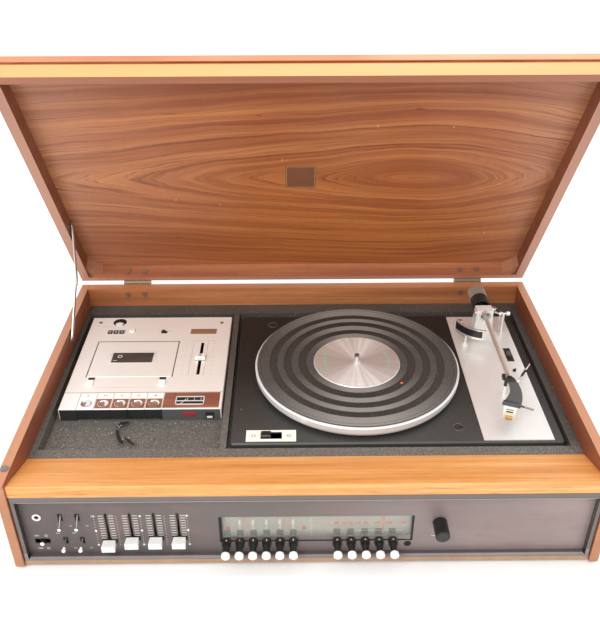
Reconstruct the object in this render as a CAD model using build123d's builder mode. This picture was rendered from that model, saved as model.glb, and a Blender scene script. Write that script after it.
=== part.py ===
from build123d import *
from math import atan2, cos, degrees, hypot, radians, sin
import os

# A table-top radiogram of about 1970: a teak cabinet with a hinged lid, a record deck, a cassette
# recorder and, behind the front panel, a radio with its amplifier. Sizes are in millimetres.
# It stands with the lid open, as it is used. X runs along the front, Y from front to back, Z up,
# and the origin is under the middle of the whole outline.

os.makedirs("parts", exist_ok=True)

# Driving dimensions

# Cabinet, with heights taken from its underside and depths from the front of its sides
cabinet_width = 762.0
cabinet_depth = 486.0
wall_height = 143.5
side_thickness = 12.5
back_thickness = 16.0
base_thickness = 7.0
front_setback = 3.5
foot_height = 4.0
foot_radius = 10.0
foot_inset = 34.0
cleat_size = 8.0
edge_radius = 1.5
fit_gap = 0.2

# Lid
lid_thickness = 35.0
lid_board_thickness = 10.0
lid_groove_height = 5.5
lid_groove_depth = 4.0
lid_side_rim = 14.0
lid_back_rim = 11.0
lid_front_rim = 11.7
lid_front_setback = 8.0
lid_seat_gap = 1.5
lid_open_angle = 60.0
corner_block_leg = 22.0

# Lid hinges
hinge_offset = 286.0
hinge_width = 46.0
hinge_leaf_height = 25.0
hinge_leaf_thickness = 2.0
knuckle_radius = 4.5
hinge_pin_radius = 2.0
knuckle_gap = 0.3
hinge_bolt_pitch = 29.0
hinge_bolt_drop = 10.5
bolt_radius = 2.0
bolt_head_radius = 4.0
bolt_head_height = 2.2
running_gap = 0.05

# Lid stay, a pair of folding arms on the left wall
stay_wall_depth = 338.0
stay_wall_height = 130.0
stay_lid_depth = 432.0
stay_lid_height = 281.0
stay_elbow_sag = 23.5478
stay_arm_width = 8.0
stay_arm_thickness = 1.5
stay_layer_gap = 0.5
stay_plate_thickness = 1.5
stay_pin_radius = 2.0

# Front rail
rail_depth = 84.5
rail_front_height = 138.0
rail_bottom_height = 120.5
rail_thickness = 13.0
rail_edge_radius = 2.0

# Deck plinth, a painted board with a well for each deck
deck_height = 110.0
plinth_thickness = 16.0
well_floor_thickness = 6.0
cassette_well_x = (-360.0, -117.0)
cassette_well_depth = (102.0, 441.0)
deck_well_x = (-108.0, 356.0)
deck_well_depth = (101.5, 442.0)
deck_ledge = 22.0

# Front panel and its surround
surround_side_lip = 5.5
surround_top_lip = 9.7
surround_bottom_lip = 2.5
surround_rebate = 1.2
fascia_depth = 13.0
fascia_thickness = 2.0
chamfer_small = 0.8

# Tuning dial
glass_x = (-110.0, 134.5)
glass_height = (37.8, 74.0)
glass_thickness = 3.0
glass_proud = 1.0
pointer_rest_x = 98.5
pointer_width = 1.6
pointer_length = 34.0
pointer_rail_height = 79.0
pointer_rail_radius = 1.5
pointer_depth = 19.0
dial_backing_depth = 23.5

# Push buttons
left_button_x = -104.7
left_button_pitch = 17.3
left_button_count = 6
right_button_x = 38.6
right_button_pitch = 18.1
right_button_count = 5
button_height = 30.2
button_stem_radius = 5.0
button_cap_radius = 5.6
button_cap_length = 7.0
button_reach = 29.0
button_gap = 0.4
button_rear_depth = 26.0

# Sliding controls on the front panel
fader_x = (-256.0, -225.7, -195.4, -165.1)
fader_rest_height = (30.5, 35.5, 35.5, 35.5)
fader_slot_height = (24.5, 82.0)
fader_slot_width = 3.2
fader_cap_width = 17.5
fader_cap_base_width = 15.5
fader_cap_height = 9.0
fader_cap_reach = 14.0
fader_stem_thickness = 2.2
slider_float = 0.5

# Lever switches on the front panel
toggle_x = (-313.6, -292.0, -312.6, -291.0)
toggle_height = (80.0, 80.0, 38.0, 38.0)
toggle_droop = (42.0, 42.0, 18.0, 18.0)
toggle_pivot_depth = 19.0
toggle_length = 22.0
toggle_hub_radius = 2.5
toggle_tip_radius = 2.6
toggle_slot_width = 4.4

# Other front panel controls
power_x = -342.6
power_height = 33.0
power_slot_size = (20.0, 9.0)
power_knob_radius = 2.8
power_knob_reach = 5.0
phones_x = -343.0
phones_height = 77.0
phones_bore_radius = 3.25
phones_nut_radius = 5.6
aux_x = 130.7
aux_height = 22.5
aux_bore_radius = 4.8
socket_length = 16.0
knob_x = 169.5
knob_height = 62.0
knob_radius = 9.2
knob_reach = 26.0
knob_shaft_radius = 3.0
knob_flutes = 24

# Radio and amplifier chassis
chassis_depth = 32.0
chassis_sheet = 1.2
chassis_x = (-352.0, 200.0)
chassis_front_height = 90.0
chassis_tail_x = (-345.0, -140.0)
rear_socket_x = (-318.0, -288.0, -258.0, -228.0)
rear_socket_height = 38.0
rear_socket_radius = 6.6
mains_entry_x = -178.0
mains_entry_radius = 3.5
socket_wall = 1.6
rear_window_x = (-336.0, -152.0)
rear_window_height = (20.0, 58.0)

# Record deck
deck_plate_x = (-102.5, 350.0)
deck_plate_depth = (107.5, 427.0)
deck_plate_top = 112.5
deck_plate_sheet = 2.0
deck_plate_skirt = 14.0
spindle_x = 78.2
spindle_depth = 264.8
spindle_radius = 3.6
spindle_top = 147.5
platter_radius = 152.2
platter_bottom = 119.0
platter_top = 132.7
platter_rim = 6.5
platter_web = 3.2
platter_hub_radius = 15.0
label_radius = 64.5
label_top = 135.0
mat_outer_radius = 149.0
mat_low = 1.0
mat_high = 1.8
mat_bands = ((65.0, 76.0), (88.0, 98.5), (109.0, 119.5), (130.5, 149.0))

# Rim drive
idler_radius = 22.5
idler_thickness = 5.0
idler_angle = 120.0
pulley_radius = 3.4
pulley_small_length = 8.0
pulley_large_radius = 4.6
pulley_height = 121.0
drive_gap = 0.3
motor_radius = 38.0
motor_height = 50.0
motor_nose_radius = 10.0
motor_spindle_radius = 1.5
motor_ear_distance = 46.0
motor_ear_step = 35.0
motor_ear_radius = 6.0
motor_ear_thickness = 4.0
motor_ear_drop = 12.0
motor_bush_radius = 3.0

# Speed selector
selector_x = (-82.0, -13.5)
selector_depth = (110.5, 134.5)
selector_slot_x = (-62.0, -33.0)
selector_slot_depth = (116.5, 130.5)
selector_knob = (13.0, 11.0, 5.0)

# Pick-up arm
arm_inset = 60.5
arm_setback = 54.0
arm_height = 152.0
arm_plate_inset = (109.5, 14.0)
arm_plate_setback = (2.5, 7.0)
arm_plate_sheet = 1.2
arm_base_radius = 25.0
arm_base_height = 3.3
tower_width = 32.0
tower_length = 24.0
tower_top = 160.0
tower_taper = 4.5
tower_hole_radius = 7.5
spigot_radius = 6.0
arm_tube_radius = 3.2
arm_tube_length = 176.0
gimbal_pin_radius = 1.2
counterweight_radius = 14.5
counterweight_start = 16.0
counterweight_ring = 22.0
counterweight_length = 26.0
counterweight_sleeve = (5.5, 11.0)
counterweight_recess = (9.5, 12.0)
shell_thickness = 5.0
shell_neck = (-4.0, 5.4)
shell_outer_bend = (9.0, 34.0)
shell_outer_end = (0.0, 64.0)
shell_inner_end = (-22.8, 55.0)
shell_inner_bend = (-6.5, 30.0)
finger_lift = (20.0, 3.0, 1.4)
finger_lift_root = (-1.0, 60.0)
cartridge_place = (-10.5, 56.0)
cartridge_back = 8.0
cartridge_width = 17.0
cartridge_height = 9.5
cartridge_length = 26.0
stylus_length = 3.0
lift_radius = 47.0
lift_band = 3.5
lift_height = 18.0
lift_clearance = 1.2
lift_span = (5.5, 71.0)
lift_post_angle = 44.0
lift_post_radius = 2.5
lift_travel = 5.0
cue_lever_offset = 25.5
cue_lever_forward = 139.0
cue_lever_length = 36.0
cue_lever_radius = 1.1
rest_forward = 164.0
rest_half_width = 6.5
bias_offset = 32.5
bias_forward = 1.0
bias_top = 150.0
start_slot_offset = (25.0, 35.5)
start_slot_forward = (82.0, 47.0)
start_bar_offset = (27.0, 33.5)
start_bar_forward = (71.0, 61.0)

# Cassette recorder
recorder_x = (-352.0, -120.0)
recorder_depth = (181.0, 424.0)
recorder_top = 114.5
key_row_back = 219.0
key_x = -326.8
key_pitch = 24.36
key_count = 5
key_gap = 0.5
key_sheet = 3.0
key_pivot_depth = 213.5
key_pivot_height = 104.5
key_rod_radius = 1.5
key_hub_radius = 3.2
key_dimple_radius = 7.5
door_x = (-328.2, -200.2)
door_depth = (257.0, 351.0)
door_gap = 0.5
door_thickness = 2.5
door_window_x = (-299.8, -229.0)
door_window_depth = (292.0, 323.0)
door_hinge_setback = 7.0
door_barrel_radius = 2.2
door_pin_radius = 1.0
door_ear_width = 9.0
door_ear_x = (-319.5, -213.0)
door_guide_drop = 9.0
bay_floor = 99.5
lug_setback = (14.5, 3.5)
lug_height = 3.0
hub_spacing = 42.5
hub_radius = 4.5
level_slot_x = -161.5
level_slot_depth = (262.6, 346.6)
level_slot_width = 3.8
level_knob = (16.0, 11.0, 7.0)
level_rest_depth = 303.0
reset_x = -280.7
reset_depth = 383.0
reset_radius = 5.2
counter_x = (-320.0, -291.5)
counter_depth = (374.5, 386.5)
dial_recess_x = -305.2
dial_recess_depth = 409.0
dial_recess_radius = 11.0
recess_depth = 3.0

# Derived places

half_width = cabinet_width / 2
inner_x = half_width - side_thickness
cabinet_inside_depth = cabinet_depth - back_thickness
arm_x = deck_plate_x[1] - arm_inset
arm_depth = deck_plate_depth[1] - arm_setback
arm_plate_x = (deck_plate_x[1] - arm_plate_inset[0], deck_plate_x[1] - arm_plate_inset[1])
arm_plate_depth = (deck_plate_depth[0] + arm_plate_setback[0], deck_plate_depth[1] - arm_plate_setback[1])
cue_lever_x = arm_x + cue_lever_offset
cue_lever_depth = arm_depth - cue_lever_forward
hinge_setback = knuckle_radius + 0.5
open_turn = radians(lid_open_angle)
lid_corner_rise = lid_seat_gap / 2 + lid_thickness
back_reach = cabinet_depth + hinge_setback * (1 - cos(open_turn)) + lid_corner_rise * sin(open_turn)
front_reach = fascia_depth - button_reach
front_y = -(back_reach + front_reach) / 2


def at(x, depth, height):
    """A place in the cabinet, from its middle, its front and its underside."""
    return (x, front_y + depth, foot_height + height)


def yz(depth, height):
    """The same for a profile that is drawn across the cabinet."""
    return (front_y + depth, foot_height + height)


def plan(height):
    """A level sketch plane whose origin is the middle of the cabinet's front edge."""
    return Plane(origin=at(0, 0, height), x_dir=(1, 0, 0), z_dir=(0, 0, 1))


def facing(depth):
    """An upright sketch plane at a depth, seen from the front: x along it, y up."""
    return Plane(origin=at(0, depth, 0), x_dir=(1, 0, 0), z_dir=(0, -1, 0))


def block(x, depth, height, mode=Mode.ADD):
    """A square-cut board between two places in each direction."""
    middle = at((x[0] + x[1]) / 2, (depth[0] + depth[1]) / 2, (height[0] + height[1]) / 2)
    with Locations(middle):
        Box(x[1] - x[0], depth[1] - depth[0], height[1] - height[0], mode=mode)


def upright(x, depth, radius, height, mode=Mode.ADD):
    """A round piece or hole whose axis is upright."""
    with Locations(at(x, depth, (height[0] + height[1]) / 2)):
        Cylinder(radius, height[1] - height[0], mode=mode)


def level(x, depth, height, radius, mode=Mode.ADD):
    """A round piece or hole whose axis runs from front to back."""
    with Locations(at(x, (depth[0] + depth[1]) / 2, height)):
        Cylinder(radius, depth[1] - depth[0], rotation=(90, 0, 0), mode=mode)


def crosswise(x, depth, height, radius, mode=Mode.ADD):
    """A round piece or hole whose axis runs along the front."""
    with Locations(at((x[0] + x[1]) / 2, depth, height)):
        Cylinder(radius, x[1] - x[0], rotation=(0, 90, 0), mode=mode)


# Cabinet carcass

hinge_z = wall_height + lid_seat_gap / 2
hinge_depth = cabinet_depth + hinge_setback
hinge_bolt_x = [side * hinge_offset + shift for side in (-1, 1) for shift in
                (-hinge_bolt_pitch / 2, hinge_bolt_pitch / 2)]
plinth_bottom = deck_height - plinth_thickness
cabinet_bolt_height = wall_height - hinge_bolt_drop

with BuildPart() as side_panels:
    block((inner_x, half_width), (0, cabinet_depth), (0, wall_height))
    fillet(side_panels.edges().filter_by(Axis.Z).group_by(Axis.Y)[0], edge_radius)
    block(
        (inner_x - cleat_size, inner_x),
        (rail_depth, cabinet_inside_depth - fit_gap),
        (plinth_bottom - fit_gap - cleat_size, plinth_bottom - fit_gap),
    )
    mirror(about=Plane.YZ)
side_panels.part.label = "side_panels"
export_step(side_panels.part, "parts/side_panels.step")

with BuildPart() as back_panel:
    block(
        (-inner_x + fit_gap, inner_x - fit_gap),
        (cabinet_inside_depth, cabinet_depth),
        (0, wall_height),
    )
    block(rear_window_x, (cabinet_inside_depth - 1, cabinet_depth + 1), rear_window_height, Mode.SUBTRACT)
    for x in hinge_bolt_x:
        level(x, (cabinet_inside_depth - 1, cabinet_depth + 1), cabinet_bolt_height,
              bolt_radius + running_gap, Mode.SUBTRACT)
back_panel.part.label = "back_panel"
export_step(back_panel.part, "parts/back_panel.step")

vent_count = 9
vent_pitch = 14.0
vent_size = (3.6, 60.0)
vent_depth = 300.0
vent_middle_x = -240.0
with BuildPart() as base_board:
    block(
        (-inner_x + fit_gap, inner_x - fit_gap),
        (front_setback, cabinet_inside_depth - fit_gap),
        (0, base_thickness),
    )
    with Locations(at(vent_middle_x, vent_depth, base_thickness / 2)):
        with GridLocations(vent_pitch, 0, vent_count, 1):
            Box(vent_size[0], vent_size[1], base_thickness * 2, mode=Mode.SUBTRACT)
base_board.part.label = "base_board"
export_step(base_board.part, "parts/base_board.step")

foot_depths = (foot_inset, cabinet_depth - foot_inset)
buffer_radius = 5.0
buffer_depth = 30.0
with BuildPart() as rubber_feet:
    for x in (-half_width + foot_inset, half_width - foot_inset):
        for depth in foot_depths:
            with Locations(at(x, depth, -foot_height / 2)):
                Cylinder(foot_radius, foot_height)
    # A low buffer on top of each side, near the front, for the lid to land on
    for side in (-1, 1):
        with Locations(at(side * (half_width - side_thickness / 2), buffer_depth,
                          wall_height + (lid_seat_gap - 0.1) / 2)):
            Cylinder(buffer_radius, lid_seat_gap - 0.1)
rubber_feet.part.label = "rubber_feet"
export_step(rubber_feet.part, "parts/rubber_feet.step")

rail_slope = (rail_front_height - deck_height) / (rail_depth - front_setback)
rail_back_bottom = deck_height - rail_thickness
rail_knee_depth = rail_depth - (rail_bottom_height - rail_back_bottom) / rail_slope
with BuildPart() as front_rail:
    with BuildSketch(Plane.YZ.offset(-inner_x + fit_gap)):
        with BuildLine():
            Polyline(
                yz(front_setback, rail_bottom_height),
                yz(front_setback, rail_front_height),
                yz(rail_depth, deck_height),
                yz(rail_depth, rail_back_bottom),
                yz(rail_knee_depth, rail_bottom_height),
                close=True,
            )
        make_face()
    extrude(amount=2 * (inner_x - fit_gap))
    fillet(front_rail.edges().filter_by(Axis.X).sort_by(Axis.Z)[-1], rail_edge_radius)
front_rail.part.label = "front_rail"
export_step(front_rail.part, "parts/front_rail.step")

# Deck plinth

floor_bottom = plinth_bottom - well_floor_thickness
with BuildPart() as deck_plinth:
    block(
        (-inner_x + fit_gap, inner_x - fit_gap),
        (rail_depth + fit_gap, cabinet_inside_depth - fit_gap),
        (plinth_bottom, deck_height),
    )
    block(cassette_well_x, cassette_well_depth, (plinth_bottom - 1, deck_height + 1), Mode.SUBTRACT)
    block(deck_well_x, deck_well_depth, (plinth_bottom - 1, deck_height + 1), Mode.SUBTRACT)
    # The floor of the cassette well and the ledge that carries the record deck
    well_lap = cleat_size / 2 - 1
    block(
        (cassette_well_x[0] + fit_gap * 2, deck_well_x[0] - 1),
        (cassette_well_depth[0] - well_lap, cassette_well_depth[1] + well_lap),
        (floor_bottom, plinth_bottom),
    )
    block(
        (deck_well_x[0] - 1, deck_well_x[1] - fit_gap),
        (deck_well_depth[0] - well_lap, deck_well_depth[1] + well_lap),
        (floor_bottom, plinth_bottom),
    )
    block(
        (deck_well_x[0] + deck_ledge, deck_well_x[1] - deck_ledge),
        (deck_well_depth[0] + deck_ledge, deck_well_depth[1] - deck_ledge),
        (floor_bottom - 1, plinth_bottom + 1),
        Mode.SUBTRACT,
    )
deck_plinth.part.label = "deck_plinth"
export_step(deck_plinth.part, "parts/deck_plinth.step")

# Front panel

surround_half = inner_x - fit_gap
surround_height = (base_thickness + fit_gap / 2, rail_bottom_height - fit_gap / 2)
opening_half = surround_half - surround_side_lip
opening_height = (surround_height[0] + surround_bottom_lip, surround_height[1] - surround_top_lip)
fascia_back = fascia_depth + fascia_thickness

with BuildPart() as fascia_surround:
    block((-surround_half, surround_half), (front_setback, fascia_back), surround_height)
    chamfer(fascia_surround.edges().group_by(Axis.Y)[0], chamfer_small)
    block((-opening_half, opening_half), (front_setback - 1, fascia_back + 1), opening_height, Mode.SUBTRACT)
    block(
        (-opening_half - surround_rebate, opening_half + surround_rebate),
        (fascia_depth, fascia_back + 1),
        (opening_height[0] - surround_rebate, opening_height[1] + surround_rebate),
        Mode.SUBTRACT,
    )
fascia_surround.part.label = "fascia_surround"
export_step(fascia_surround.part, "parts/fascia_surround.step")

left_buttons = [left_button_x + left_button_pitch * i for i in range(left_button_count)]
right_buttons = [right_button_x + right_button_pitch * i for i in range(right_button_count)]
button_x = left_buttons + right_buttons
fascia_edge = surround_rebate - fit_gap / 2
toggle_slot_up = 1.0
toggle_slot_down = 10.0

with BuildPart() as fascia_panel:
    block(
        (-opening_half - fascia_edge, opening_half + fascia_edge),
        (fascia_depth, fascia_back),
        (opening_height[0] - fascia_edge, opening_height[1] + fascia_edge),
    )
    through = (fascia_depth - 1, fascia_back + 1)
    block(glass_x, through, glass_height, Mode.SUBTRACT)
    for x in button_x:
        level(x, through, button_height, button_stem_radius + button_gap, Mode.SUBTRACT)
    for x in fader_x:
        block((x - fader_slot_width / 2, x + fader_slot_width / 2), through, fader_slot_height, Mode.SUBTRACT)
    for x, height in zip(toggle_x, toggle_height):
        block(
            (x - toggle_slot_width / 2, x + toggle_slot_width / 2),
            through,
            (height - toggle_slot_down, height + toggle_slot_up),
            Mode.SUBTRACT,
        )
    block(
        (power_x - power_slot_size[0] / 2, power_x + power_slot_size[0] / 2),
        through,
        (power_height - power_slot_size[1] / 2, power_height + power_slot_size[1] / 2),
        Mode.SUBTRACT,
    )
    level(knob_x, through, knob_height, knob_shaft_radius + button_gap, Mode.SUBTRACT)
    # The two sockets are barrels behind the panel, with a nut round the smaller one in front
    for x, height, bore in ((phones_x, phones_height, phones_bore_radius), (aux_x, aux_height, aux_bore_radius)):
        level(x, (fascia_back, fascia_depth + socket_length), height, bore + socket_wall)
        level(x, (fascia_depth - 1, fascia_depth + socket_length - socket_wall), height, bore, Mode.SUBTRACT)
    level(phones_x, (fascia_depth - 1.5, fascia_depth), phones_height, phones_nut_radius)
    level(phones_x, (fascia_depth - 2, fascia_back), phones_height, phones_bore_radius, Mode.SUBTRACT)
fascia_panel.part.label = "fascia_panel"
export_step(fascia_panel.part, "parts/fascia_panel.step")

with BuildPart() as dial_glass:
    block(
        (glass_x[0] + fit_gap, glass_x[1] - fit_gap),
        (fascia_depth - glass_proud, fascia_depth - glass_proud + glass_thickness),
        (glass_height[0] + fit_gap, glass_height[1] - fit_gap),
    )
    chamfer(dial_glass.edges().group_by(Axis.Y)[0], chamfer_small)
dial_glass.part.label = "dial_glass"
export_step(dial_glass.part, "parts/dial_glass.step")

# Radio and amplifier chassis

pan_bottom = base_thickness + fit_gap / 2
pan_top = pan_bottom + chassis_sheet
chassis_back = chassis_depth + chassis_sheet
tail_end = cabinet_inside_depth - fit_gap / 2
pan_end = rail_depth + 16.0
bank_front = button_rear_depth - 4.0
bank_half = 6.0
rail_bracket = 3.0
rail_ends = (glass_x[0] - 8.0, glass_x[1] + 8.0)
transformer_x = (-322.0, -256.0)
transformer_depth = (230.0, 286.0)
transformer_top = 64.0
coil_cheek = 12.0
capacitor_radius = 17.0
capacitor_top = 62.0
heat_sink_x = (-226.0, -150.0)
heat_sink_depth = (420.0, 452.0)
fin_pitch = 8.0
fin_thickness = 2.0
fin_height = 44.0

with BuildPart() as amplifier_chassis:
    block(chassis_x, (chassis_depth, pan_end), (pan_bottom, pan_top))
    block(chassis_x, (chassis_depth, chassis_back), (pan_bottom, chassis_front_height))
    block(chassis_tail_x, (pan_end - 1, tail_end), (pan_bottom, pan_top))
    block(chassis_tail_x, (tail_end - chassis_sheet, tail_end), (pan_bottom, rear_window_height[1] + 8))
    # Sockets on the tail's end, which show through the window in the cabinet's back
    for x, bore in [(x, rear_socket_radius) for x in rear_socket_x] + [(mains_entry_x, mains_entry_radius)]:
        level(x, (tail_end - 8, tail_end + 5), rear_socket_height, bore + socket_wall)
        level(x, (tail_end - 6, tail_end + 6), rear_socket_height, bore, Mode.SUBTRACT)
    level(mains_entry_x, (tail_end - 9, tail_end + 6), rear_socket_height, mains_entry_radius, Mode.SUBTRACT)
    # Button banks, each with a guide bore for every stem
    for row in (left_buttons, right_buttons):
        block(
            (row[0] - button_stem_radius - 3, row[-1] + button_stem_radius + 3),
            (bank_front, chassis_depth),
            (button_height - bank_half, button_height + bank_half),
        )
    for x in button_x:
        level(x, (bank_front - 1, chassis_depth), button_height, button_stem_radius + button_gap / 2,
              Mode.SUBTRACT)
    # Slide controls behind the faders
    for x in fader_x:
        block((x - 6, x + 6), (bank_front, chassis_depth), (fader_slot_height[0] - 5, fader_slot_height[1] + 5))
        block(
            (x - fader_slot_width / 2, x + fader_slot_width / 2),
            (bank_front - 1, chassis_depth - 1),
            fader_slot_height,
            Mode.SUBTRACT,
        )
    # Cheeks and pins that carry the lever switches
    for x, height in zip(toggle_x, toggle_height):
        for side in (-1, 1):
            inner = x + side * 3.3
            outer = x + side * 4.5
            block(
                (min(inner, outer), max(inner, outer)),
                (toggle_pivot_depth - 2.5, chassis_depth),
                (height - 4, height + 4),
            )
        crosswise((x - 4, x + 4), toggle_pivot_depth, height, 0.8)
    # Mains switch body, open in front for its slider
    block((power_x - 12, power_x + 12 - 3.4), (bank_front, chassis_depth), (power_height - 9, power_height + 9))
    block(
        (power_x - 5, power_x + 5),
        (bank_front - 1, chassis_depth - 4),
        (power_height - power_slot_size[1] / 2, power_height + power_slot_size[1] / 2),
        Mode.SUBTRACT,
    )
    # Dial backing, and the rail that the pointer runs on
    block((glass_x[0] - 2, glass_x[1] + 2), (dial_backing_depth, dial_backing_depth + chassis_sheet),
          (glass_height[0], glass_height[1]))
    for x in (glass_x[0] + 20, glass_x[1] - 20):
        block((x - 4, x + 4), (dial_backing_depth, chassis_depth), (50, 60))
    for x in rail_ends:
        block(
            (x - rail_bracket / 2, x + rail_bracket / 2),
            (pointer_depth - 3, chassis_depth),
            (pointer_rail_height - 4, pointer_rail_height + 4),
        )
    crosswise(rail_ends, pointer_depth, pointer_rail_height, pointer_rail_radius)
    level(knob_x, (chassis_depth - 1, chassis_back + 1), knob_height, knob_shaft_radius + running_gap,
          Mode.SUBTRACT)
    # Mains transformer, smoothing capacitors and heat sink
    block(transformer_x, transformer_depth, (pan_top, transformer_top))
    block(
        (transformer_x[0] + 14, transformer_x[1] - 14),
        (transformer_depth[0] - coil_cheek, transformer_depth[1] + coil_cheek),
        (pan_top + 8, transformer_top - 8),
    )
    for x in (-208.0, -168.0):
        upright(x, 258.0, capacitor_radius, (pan_top, capacitor_top))
    block(heat_sink_x, heat_sink_depth, (pan_top, pan_top + 6))
    fin_count = int((heat_sink_x[1] - heat_sink_x[0]) / fin_pitch)
    for i in range(fin_count + 1):
        x = heat_sink_x[0] + i * fin_pitch
        block((x, x + fin_thickness), heat_sink_depth, (pan_top, pan_top + fin_height))
amplifier_chassis.part.label = "amplifier_chassis"
export_step(amplifier_chassis.part, "parts/amplifier_chassis.step")

# Dial pointer and tuning knob

with BuildPart() as dial_pointer:
    block(
        (pointer_rest_x - 5, pointer_rest_x + 5),
        (pointer_depth - 2.8, pointer_depth + 2.8),
        (pointer_rail_height - 3.5, pointer_rail_height + 3.5),
    )
    crosswise((pointer_rest_x - 6, pointer_rest_x + 6), pointer_depth, pointer_rail_height,
              pointer_rail_radius + running_gap, Mode.SUBTRACT)
    block(
        (pointer_rest_x - pointer_width / 2, pointer_rest_x + pointer_width / 2),
        (pointer_depth - 1.0, pointer_depth + 0.2),
        (pointer_rail_height - 3 - pointer_length, pointer_rail_height - 3),
    )
dial_pointer.part.label = "dial_pointer"
export_step(dial_pointer.part, "parts/dial_pointer.step")

knob_plane = facing(fascia_depth - 0.5)
knob_end = fascia_depth - knob_reach
flute_radius = 0.9
with BuildPart() as tuning_knob:
    with BuildSketch(knob_plane):
        with Locations((knob_x, knob_height)):
            Circle(knob_radius)
            with PolarLocations(knob_radius + flute_radius * 0.4, knob_flutes):
                Circle(flute_radius, mode=Mode.SUBTRACT)
    extrude(amount=knob_reach - 0.5)
    chamfer(tuning_knob.faces().sort_by(Axis.Y)[0].edges(), 0.5)
    level(knob_x, (fascia_depth - 0.5, chassis_back + 3), knob_height, knob_shaft_radius)
tuning_knob.part.label = "tuning_knob"
export_step(tuning_knob.part, "parts/tuning_knob.step")

# Push buttons: a black stem and a round white cap

stem_front = fascia_depth - button_reach + button_cap_length
for number, x in enumerate(button_x, start=1):
    button_axis = Axis(at(x, 0, button_height), (0, 1, 0))
    with BuildPart() as push_button:
        with BuildSketch(Plane.YZ.offset(x)):
            with BuildLine():
                Polyline(
                    yz(button_rear_depth, button_height),
                    yz(button_rear_depth, button_height + button_stem_radius),
                    yz(fascia_depth - 4, button_height + button_stem_radius),
                    yz(stem_front, button_height + button_stem_radius - 1),
                    yz(stem_front, button_height + button_cap_radius - 1),
                    yz(stem_front - 1, button_height + button_cap_radius),
                    yz(fascia_depth - button_reach + 2, button_height + button_cap_radius),
                    yz(fascia_depth - button_reach, button_height + button_cap_radius - 2.2),
                    yz(fascia_depth - button_reach, button_height),
                    close=True,
                )
            make_face()
        revolve(axis=button_axis)
    button_name = f"push_button_{number}"
    push_button.part.label = button_name
    export_step(push_button.part, f"parts/{button_name}.step")

# Faders: a tapered cap on a flat stem that runs in its slot

for number, (x, height) in enumerate(zip(fader_x, fader_rest_height), start=1):
    cap_front = fascia_depth - slider_float - fader_cap_reach
    with BuildPart() as fader:
        with BuildSketch(plan(height - fader_cap_height / 2)):
            with BuildLine():
                Polyline(
                    (x - fader_cap_base_width / 2, fascia_depth - slider_float),
                    (x - fader_cap_width / 2, cap_front),
                    (x + fader_cap_width / 2, cap_front),
                    (x + fader_cap_base_width / 2, fascia_depth - slider_float),
                    close=True,
                )
            make_face()
        extrude(amount=fader_cap_height)
        chamfer(fader.faces().sort_by(Axis.Y)[0].edges(), chamfer_small)
        block(
            (x - fader_stem_thickness / 2, x + fader_stem_thickness / 2),
            (fascia_depth - slider_float - 1, bank_front + 5),
            (height - 3, height + 3),
        )
    fader_name = f"fader_{number}"
    fader.part.label = fader_name
    export_step(fader.part, f"parts/{fader_name}.step")

# Lever switches: a tapered arm with a round tip, on a small hub

for number, (x, height, droop) in enumerate(zip(toggle_x, toggle_height, toggle_droop), start=1):
    arm_plane = Plane(
        origin=at(x, toggle_pivot_depth, height),
        x_dir=(1, 0, 0),
        z_dir=(0, -cos(radians(droop)), -sin(radians(droop))),
    )
    with BuildPart() as toggle:
        crosswise((x - 3, x + 3), toggle_pivot_depth, height, toggle_hub_radius)
        with BuildSketch(arm_plane):
            Circle(1.1)
        with BuildSketch(arm_plane.offset(toggle_length)):
            Circle(1.7)
        loft()
        with Locations(arm_plane.offset(toggle_length)):
            Sphere(toggle_tip_radius)
        crosswise((x - 4, x + 4), toggle_pivot_depth, height, 0.8 + running_gap, Mode.SUBTRACT)
    toggle_name = f"lever_switch_{number}"
    toggle.part.label = toggle_name
    export_step(toggle.part, f"parts/{toggle_name}.step")

with BuildPart() as power_switch:
    level(power_x, (fascia_depth - power_knob_reach, chassis_depth - 6), power_height - 1, power_knob_radius)
    fillet(power_switch.edges().group_by(Axis.Y)[0], 1.0)
power_switch.part.label = "power_switch"
export_step(power_switch.part, "parts/power_switch.step")

# Record deck plate, with the platter's bearing and spindle

idler_ring = platter_radius - platter_rim - drive_gap
idler_turn = radians(idler_angle)
idler_distance = idler_ring - idler_radius
idler_x = spindle_x + idler_distance * cos(idler_turn)
idler_depth = spindle_depth + idler_distance * sin(idler_turn)
pulley_turn = radians(idler_angle + 140.0)
pulley_distance = idler_radius + pulley_radius + drive_gap
pulley_x = idler_x + pulley_distance * cos(pulley_turn)
pulley_depth = idler_depth + pulley_distance * sin(pulley_turn)
drive_hole_x = (min(idler_x, pulley_x) - 20.0, max(idler_x, pulley_x) + 20.0)
drive_hole_depth = (pulley_depth - 12.0, idler_depth + 16.0)
sheet_bottom = deck_plate_top - deck_plate_sheet
skirt_bottom = deck_plate_top - deck_plate_skirt
mount_inset = 16.0
mount_radius = 6.0
bridge_width = 12.0
selector_sheet = 0.8

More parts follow.
